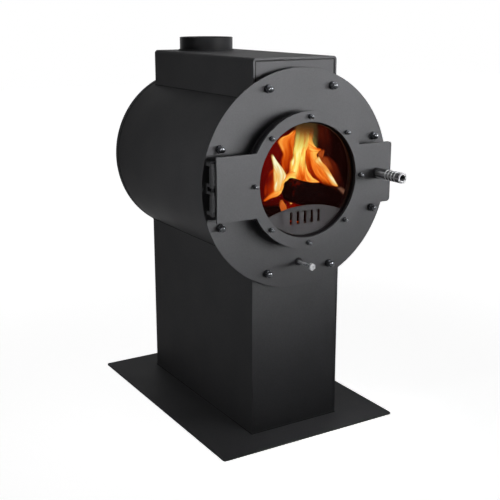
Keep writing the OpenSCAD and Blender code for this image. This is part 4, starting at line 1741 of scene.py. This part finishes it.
FLAME, PALE, DULL, SMOKE, HAZE = FlameHeat
TONGUES = (
    Tongue("back_glow", FLAME, 92, (0.16, 0.2, 0.25, 0.26, 0.18), (
        (-43, -67, 41, -77), (-43, -31, 45, -40), (-41, 9, 52, 1), (-30, 48, 56, 41), (-13, 71, 58, 65),
        (10, 91, 63, 91)),
           soft=13, base=0.12, tip=0.2),
    Tongue("upper_haze", DULL, 93, (0.14, 0.22, 0.28, 0.26), (
        (95, 13, 143, -1), (91, 43, 147, 30), (91, 69, 146, 59), (88, 96, 135, 93)),
           soft=18, base=0.3, tip=0.2),
    Tongue("crown", SMOKE, 76, (0.85, 0.66, 0.4, 0.26), (
        (38, 51, 94, 42), (34, 69, 96, 61), (34, 83, 98, 77), (37, 106, 93, 103)),
           soft=13, base=0.2, tip=0.1),
    Tongue("upper_left", FLAME, 70, (0.32, 0.42, 0.48, 0.55, 0.58, 0.5), (
        (14, -5, 28, -4), (4, 14, 27, 8), (3, 29, 31, 24), (6, 40, 32, 38), (1, 52, 34, 50),
        (-5, 65, 35, 63), (3, 73, 36, 74), (19, 78, 37, 81), (30, 87, 36, 88)),
           soft=3.5, rim=0.12, lean=-0.08, base=0.15, tip=0.1),
    Tongue("left_veil", FLAME, 66, (0.36, 0.36, 0.3, 0.34, 0.4), (
        (-40, -43, -13, -42), (-41, -27, -10, -26), (-39, -11, -11, -12), (-35, 2, -11, 0),
        (-27, 10, -11, 10), (-18, 16, -12, 15)),
           soft=4, rim=0.1, lean=0.13, base=0.15, tip=0.1),
    Tongue("left_tail", FLAME, 58, (0.46, 0.6, 0.72, 0.82, 0.88), (
        (-49, -46, -45, -49), (-37, -37, -30, -44), (-24, -29, -10, -40), (-18, -20, -1, -31),
        (-16, -12, 3, -18)),
           soft=2.5, base=0.1, tip=0.1),
    Tongue("left_spire", PALE, 56, (0.84, 0.92, 0.98, 1, 1, 0.96, 0.9), (
        (-22, -33, -9, -30), (-23, -19, -4, -19), (-23, -5, 4, -8), (-24, 9, 8, -1), (-24, 19, 0, 12),
        (-26, 28, -9, 23), (-29, 37, -17, 32), (-30, 46, -27, 45)),
           soft=2.5, base=0.08, tip=0.1),
    Tongue("log_corner", FLAME, 57, (0.74, 0.84, 0.86, 0.86, 0.86), (
        (-16, -30, -3, -32), (-9, -15, 3, -15), (-1, -5, 9, -12), (10, 3, 13, -12), (21, 7, 21, -14),
        (31, 6, 31, -16)),
           soft=3, base=0.1, tip=0.2),
    Tongue("dark_gap", FLAME, 65, (0.28, 0.34, 0.42, 0.47, 0.55, 0.64), (
        (68, -19, 113, -32), (58, -3, 93, -15), (54, 15, 80, 6), (54, 33, 72, 27), (55, 47, 69, 44),
        (57, 59, 67, 58)),
           soft=4, base=0.1, tip=0.2),
    Tongue("column", FLAME, 62, (0.48, 0.56, 0.74, 0.86, 0.94, 0.96, 0.92, 0.84, 0.7, 0.5), (
        (17, -16, 59, -26), (16, -2, 65, -11), (18, 12, 58, 3), (19, 23, 56, 13), (25, 34, 56, 25),
        (26, 48, 57, 41), (28, 61, 66, 52), (29, 75, 73, 66), (28, 87, 76, 80), (33, 102, 73, 98)),
           soft=4, rim=0.05, lean=-0.1, base=0.04, tip=0.5),
    Tongue("core_left", FLAME, 60, (0.86, 0.92, 0.97, 0.98, 0.93), (
        (17, -9, 32, -13), (20, 9, 36, 5), (25, 24, 40, 21), (26, 40, 41, 37), (30, 55, 40, 53)),
           soft=4, base=0.3, tip=0.35),
    Tongue("core_right", FLAME, 60, (0.84, 0.92, 0.96, 0.92), (
        (37, 13, 53, 10), (39, 30, 54, 27), (42, 45, 55, 42), (49, 55, 53, 54)),
           soft=4, base=0.4, tip=0.3),
    Tongue("wing", FLAME, 58, (0.72, 0.77, 0.76, 0.74, 0.74, 0.8, 0.86), (
        (85, -23, 87, -20), (74, -22, 81, -16), (62, -20, 72, -10), (54, -15, 64, -1), (50, -2, 58, 9),
        (47, 12, 55, 18), (45, 31, 53, 30)),
           soft=2.5, base=0.05, tip=0.3),
    Tongue("right_band", FLAME, 63, (0.38, 0.5, 0.61, 0.67, 0.65, 0.7, 0.74, 0.74, 0.66), (
        (104, -32, 125, -37), (88, -16, 127, -32), (75, -2, 116, -17), (67, 14, 106, -3),
        (64, 28, 94, 13), (62, 43, 85, 31), (60, 55, 90, 41), (60, 67, 77, 55), (60, 79, 70, 76)),
           soft=4, base=0.2, tip=0.2),
    Tongue("shoulder", FLAME, 61, (0.8, 0.78, 0.72, 0.6), (
        (58, 61, 58, 45), (70, 55, 69, 40), (81, 49, 81, 39), (91, 47, 91, 41)),
           soft=3.5, base=0.3, tip=0.15),
    Tongue("right_blade", PALE, 57, (0.74, 0.92, 0.94, 0.84, 0.76, 0.8, 0.87, 0.84), (
        (131, -36, 134, -34), (119, -31, 131, -28), (110, -20, 123, -16), (101, -7, 114, -3),
        (92, 5, 105, 9), (83, 13, 95, 18), (75, 21, 89, 26), (76, 31, 83, 33)),
           soft=3, lean=0.05, base=0.08, tip=0.1),
    Tongue("right_body", DULL, 67, (0.16, 0.28, 0.42, 0.5, 0.52, 0.46), (
        (130, -46, 161, -49), (112, -24, 160, -35), (100, -4, 150, -10), (92, 11, 140, 9),
        (90, 23, 123, 24), (93, 33, 108, 31)),
           soft=10, lean=-0.16, base=0.2, tip=0.2),
    Tongue("curl", DULL, 64, (0.45, 0.66, 0.62, 0.35), (
        (87, 23, 99, 20), (85, 34, 102, 30), (88, 41, 104, 38), (93, 46, 104, 44)),
           soft=5, rim=0.1, base=0.2, tip=0.3),
    Tongue("low_wisp", HAZE, 22, (0.95, 0.9, 0.6, 0.3), (
        (102, -28, 110, -25), (115, -40, 125, -33), (124, -52, 136, -45), (129, -64, 137, -63)),
           soft=2.5, base=0.15, tip=0.3),
    Tongue("side_wisp", HAZE, 16, (0.4, 0.45, 0.55), (
        (124, 24, 128, 23), (131, 5, 138, 4), (137, -12, 145, -13), (144, -31, 153, -32)),
           soft=2.5, base=0.3, tip=0.2),
    Tongue("under_log", DULL, 60, (0.72, 0.78, 0.86, 0.8), (
        (-7, -73, 13, -76), (-7, -63, 11, -63), (-7, -54, 5, -56), (-5, -47, -1, -47)),
           soft=2.5, base=0.1, tip=0.2),
    Tongue("ember_glow", FLAME, 74, (0.25, 0.27, 0.22), (
        (12, -78, 68, -81), (12, -66, 68, -72), (19, -54, 58, -63)),
           soft=6, base=0.15, tip=0.3),
    Tongue("spark", PALE, 58, (0.8, 0.9, 0.8), (
        (13.8, -57.8, 14.1, -57.0), (17.4, -59.8, 17.4, -55.9), (21.0, -58.8, 21.3, -57.8)),
           soft=1.5, base=0.3, tip=0.3),
)


# ---- Studio ----

def room_white(tree: Tree, place: Socket, depth: float, front: float = 0.2, left: float = 0.2) -> Socket:
    """How white the room shows: full to the camera and through glass, and dimmer in some reflections.

    Args:
        tree: The node tree.
        place: A point or direction in the room, whose Y runs from the front to the rear.
        depth: The Y that counts as all the way to the rear.
        front: Strength of the room's front half in reflections.
        left: What is left of that strength at the room's left.

    Returns:
        The strength, which is 0 for the light that falls on the stove.
    """
    path = add_node(tree, "ShaderNodeLightPath")
    along = add_node(tree, "ShaderNodeSeparateXYZ", {"Vector": place})
    side = add_node(tree, "ShaderNodeMapRange",
                    {"Value": along.outputs["Y"], "From Min": -0.5 * depth, "From Max": 0.5 * depth,
                     "To Min": front, "To Max": 1.0})
    across = add_node(tree, "ShaderNodeMapRange",
                      {"Value": along.outputs["X"], "From Min": -0.6 * depth, "From Max": 0.0,
                       "To Min": left, "To Max": 1.0})
    level = add_node(tree, "ShaderNodeMath", {0: side.outputs["Result"], 1: across.outputs["Result"]},
                     operation="MULTIPLY")
    mirrored = add_node(tree, "ShaderNodeMath",
                        {0: path.outputs["Is Glossy Ray"], 1: level.outputs[0]}, operation="MULTIPLY")
    seen = add_node(tree, "ShaderNodeMath",
                    {0: path.outputs["Is Camera Ray"], 1: path.outputs["Is Transmission Ray"]},
                    operation="MAXIMUM")
    return add_node(tree, "ShaderNodeMath", {0: seen.outputs[0], 1: mirrored.outputs[0]},
                    operation="MAXIMUM").outputs[0]


@dataclass(frozen=True)
class StudioFloor(Finish):
    """Pale matt floor that fades to the white of the room away from the stove and keeps its shadow."""

    tint: str = "#e9e9e9"
    roughness: float = 0.9
    near: float = 0.9       # strength beside the stove, where 1 is white
    fade_from: float = 0.45     # m off the stove's middle
    fade_to: float = 1.5
    room_depth: float = 1.2     # m to the rear, for the floor that reflections show

    def shade(self, tree: Tree) -> Socket:
        """Builds the finish's nodes.

        Args:
            tree: The material's node tree.

        Returns:
            The shader's output.
        """
        place = add_node(tree, "ShaderNodeTexCoord").outputs["Object"]
        reach = add_node(tree, "ShaderNodeVectorMath", {0: place}, operation="LENGTH")
        lift = add_node(tree, "ShaderNodeMapRange",
                        {"Value": reach.outputs["Value"], "From Min": self.fade_from,
                         "From Max": self.fade_to, "To Min": self.near, "To Max": 1.0},
                        interpolation_type="SMOOTHSTEP")
        strength = add_node(tree, "ShaderNodeMath",
                            {0: lift.outputs["Result"], 1: room_white(tree, place, self.room_depth)},
                            operation="MULTIPLY")
        return add_node(tree, "ShaderNodeBsdfPrincipled",
                        {"Base Color": linear(self.tint), "Roughness": self.roughness,
                         "Emission Color": WHITE,
                         "Emission Strength": strength.outputs[0]}).outputs["BSDF"]


@dataclass(frozen=True)
class Lamp:
    """One studio lamp."""

    name: str
    place: Triple
    aim: Triple
    watts: float
    size: float
    spread: float = 180.0
    soft_light: bool = True     # whether it lights matt surfaces
    glint: bool = True          # whether it shows in glossy ones

    def build(self) -> Obj:
        """Makes the lamp.

        Returns:
            The object.
        """
        data = bpy.data.lights.new(self.name, "AREA")
        data.energy = self.watts
        data.shape = "SQUARE"
        data.size = self.size
        data.spread = math.radians(self.spread)
        made = bpy.data.objects.new(self.name, data)
        made.location = self.place
        made.rotation_mode = "QUATERNION"
        made.rotation_quaternion = (Vector(self.aim) - Vector(self.place)).to_track_quat("-Z", "Y")
        made.visible_camera = False
        made.visible_diffuse = self.soft_light
        made.visible_glossy = self.glint
        bpy.context.scene.collection.objects.link(made)
        return made


@dataclass
class Studio:
    """Camera, lamps, white room and pale floor."""

    eye: Triple = (-0.96885, -1.63696, 0.82945)
    yaw: float = 31.305         # degrees to the right of the stove's rear
    pitch: float = 14.894       # degrees down
    lens: float = 65.08         # mm, on a sensor 36 mm wide
    fill: float = 0.03          # strength of the light from all round
    floor_half: float = 8.0     # m
    lamps: Tuple[Lamp, ...] = (
        Lamp("key_left", (0.60, -1.80, 0.99), (0.07, -0.30, 0.97), 3.0, 1.2, spread=26.0, glint=False),
        Lamp("key_middle", (1.01, -1.58, 0.99), (0.07, -0.30, 0.97), 3.0, 1.2, spread=26.0, glint=False),
        Lamp("key_right", (1.34, -1.24, 0.99), (0.07, -0.30, 0.97), 3.0, 1.2, spread=26.0, glint=False),
        Lamp("side_lamp", (-0.75, -0.20, 0.58), (-0.10, -0.10, 0.52), 0.48, 0.06, spread=150.0),
        Lamp("foot_lamp", (0.10, -0.75, 1.60), (0.02, -0.33, 0.0), 0.09, 0.3, spread=20.0, glint=False),
        Lamp("rear_lamp", (0.25, 2.00, 0.60), (0.0, 0.28, 0.52), 1.4, 0.9, spread=24.0, glint=False),
        Lamp("right_glint", (0.95, -1.60, 1.45), (0.0, -0.25, 0.5), 36.0, 0.9, soft_light=False),
        Lamp("left_glint", (-1.0, -1.10, 1.45), (0.0, -0.25, 0.5), 12.0, 0.7, soft_light=False),
    )

    def camera(self) -> Obj:
        """Makes the camera at the photograph's viewpoint.

        Returns:
            The object.
        """
        data = bpy.data.cameras.new("view")
        data.lens = self.lens
        data.sensor_width = 36.0
        data.clip_start, data.clip_end = 0.05, 50.0
        made = bpy.data.objects.new("view", data)
        made.location = self.eye
        made.rotation_euler = (math.radians(90 - self.pitch), 0.0, math.radians(-self.yaw))
        bpy.context.scene.collection.objects.link(made)
        bpy.context.scene.camera = made
        return made

    def build(self) -> None:
        """Makes the room's light, the lamps and the floor."""
        for lamp in self.lamps:
            lamp.build()
        self.room()
        h = self.floor_half
        corners = [Vector((x, y, 0.0)) for x, y in ((-h, -h), (h, -h), (h, h), (-h, h))]
        floor = piece("studio_floor", (corners, [(0, 1, 2, 3)]), StudioFloor("pale_matt_floor"),
                      smooth=False)
        bpy.context.scene.view_settings.view_transform = "Standard"

    def room(self) -> None:
        """Makes the world: white to the camera and in reflections, a soft grey fill for the rest."""
        world = bpy.data.worlds.new("white_room")
        bpy.context.scene.world = world
        world.use_nodes = True
        tree = world.node_tree
        tree.nodes.clear()
        way = add_node(tree, "ShaderNodeTexCoord").outputs["Generated"]
        level = add_node(tree, "ShaderNodeMath", {0: room_white(tree, way, 1.0), 1: self.fill},
                         operation="MAXIMUM")
        white = add_node(tree, "ShaderNodeBackground",
                         {"Color": WHITE, "Strength": level.outputs[0]})
        add_node(tree, "ShaderNodeOutputWorld", {"Surface": white.outputs[0]})


def save_sizes() -> None:
    """Brings the scene's placements up to date."""
    bpy.context.view_layer.update()


def main() -> None:
    """Builds the studio, the stove and its fire in order, and reports each piece."""
    studio = Studio()
    studio.camera()
    studio.build()
    LOG.info("studio ready")
    for assembly in (Stand(), Barrel(), TopBox(), Firebox(), AirControl(), Hinge(), Door(), Latch()):
        made = assembly.build()
        assembly.dress()
        LOG.info("%s: %s", type(assembly).__name__, ", ".join(o.name for o in made) or "finishes only")
    LOG.info("Fire: %s", ", ".join(o.name for o in Fire(TONGUES).build()))
    save_sizes()


if __name__ == "__main__":
    main()
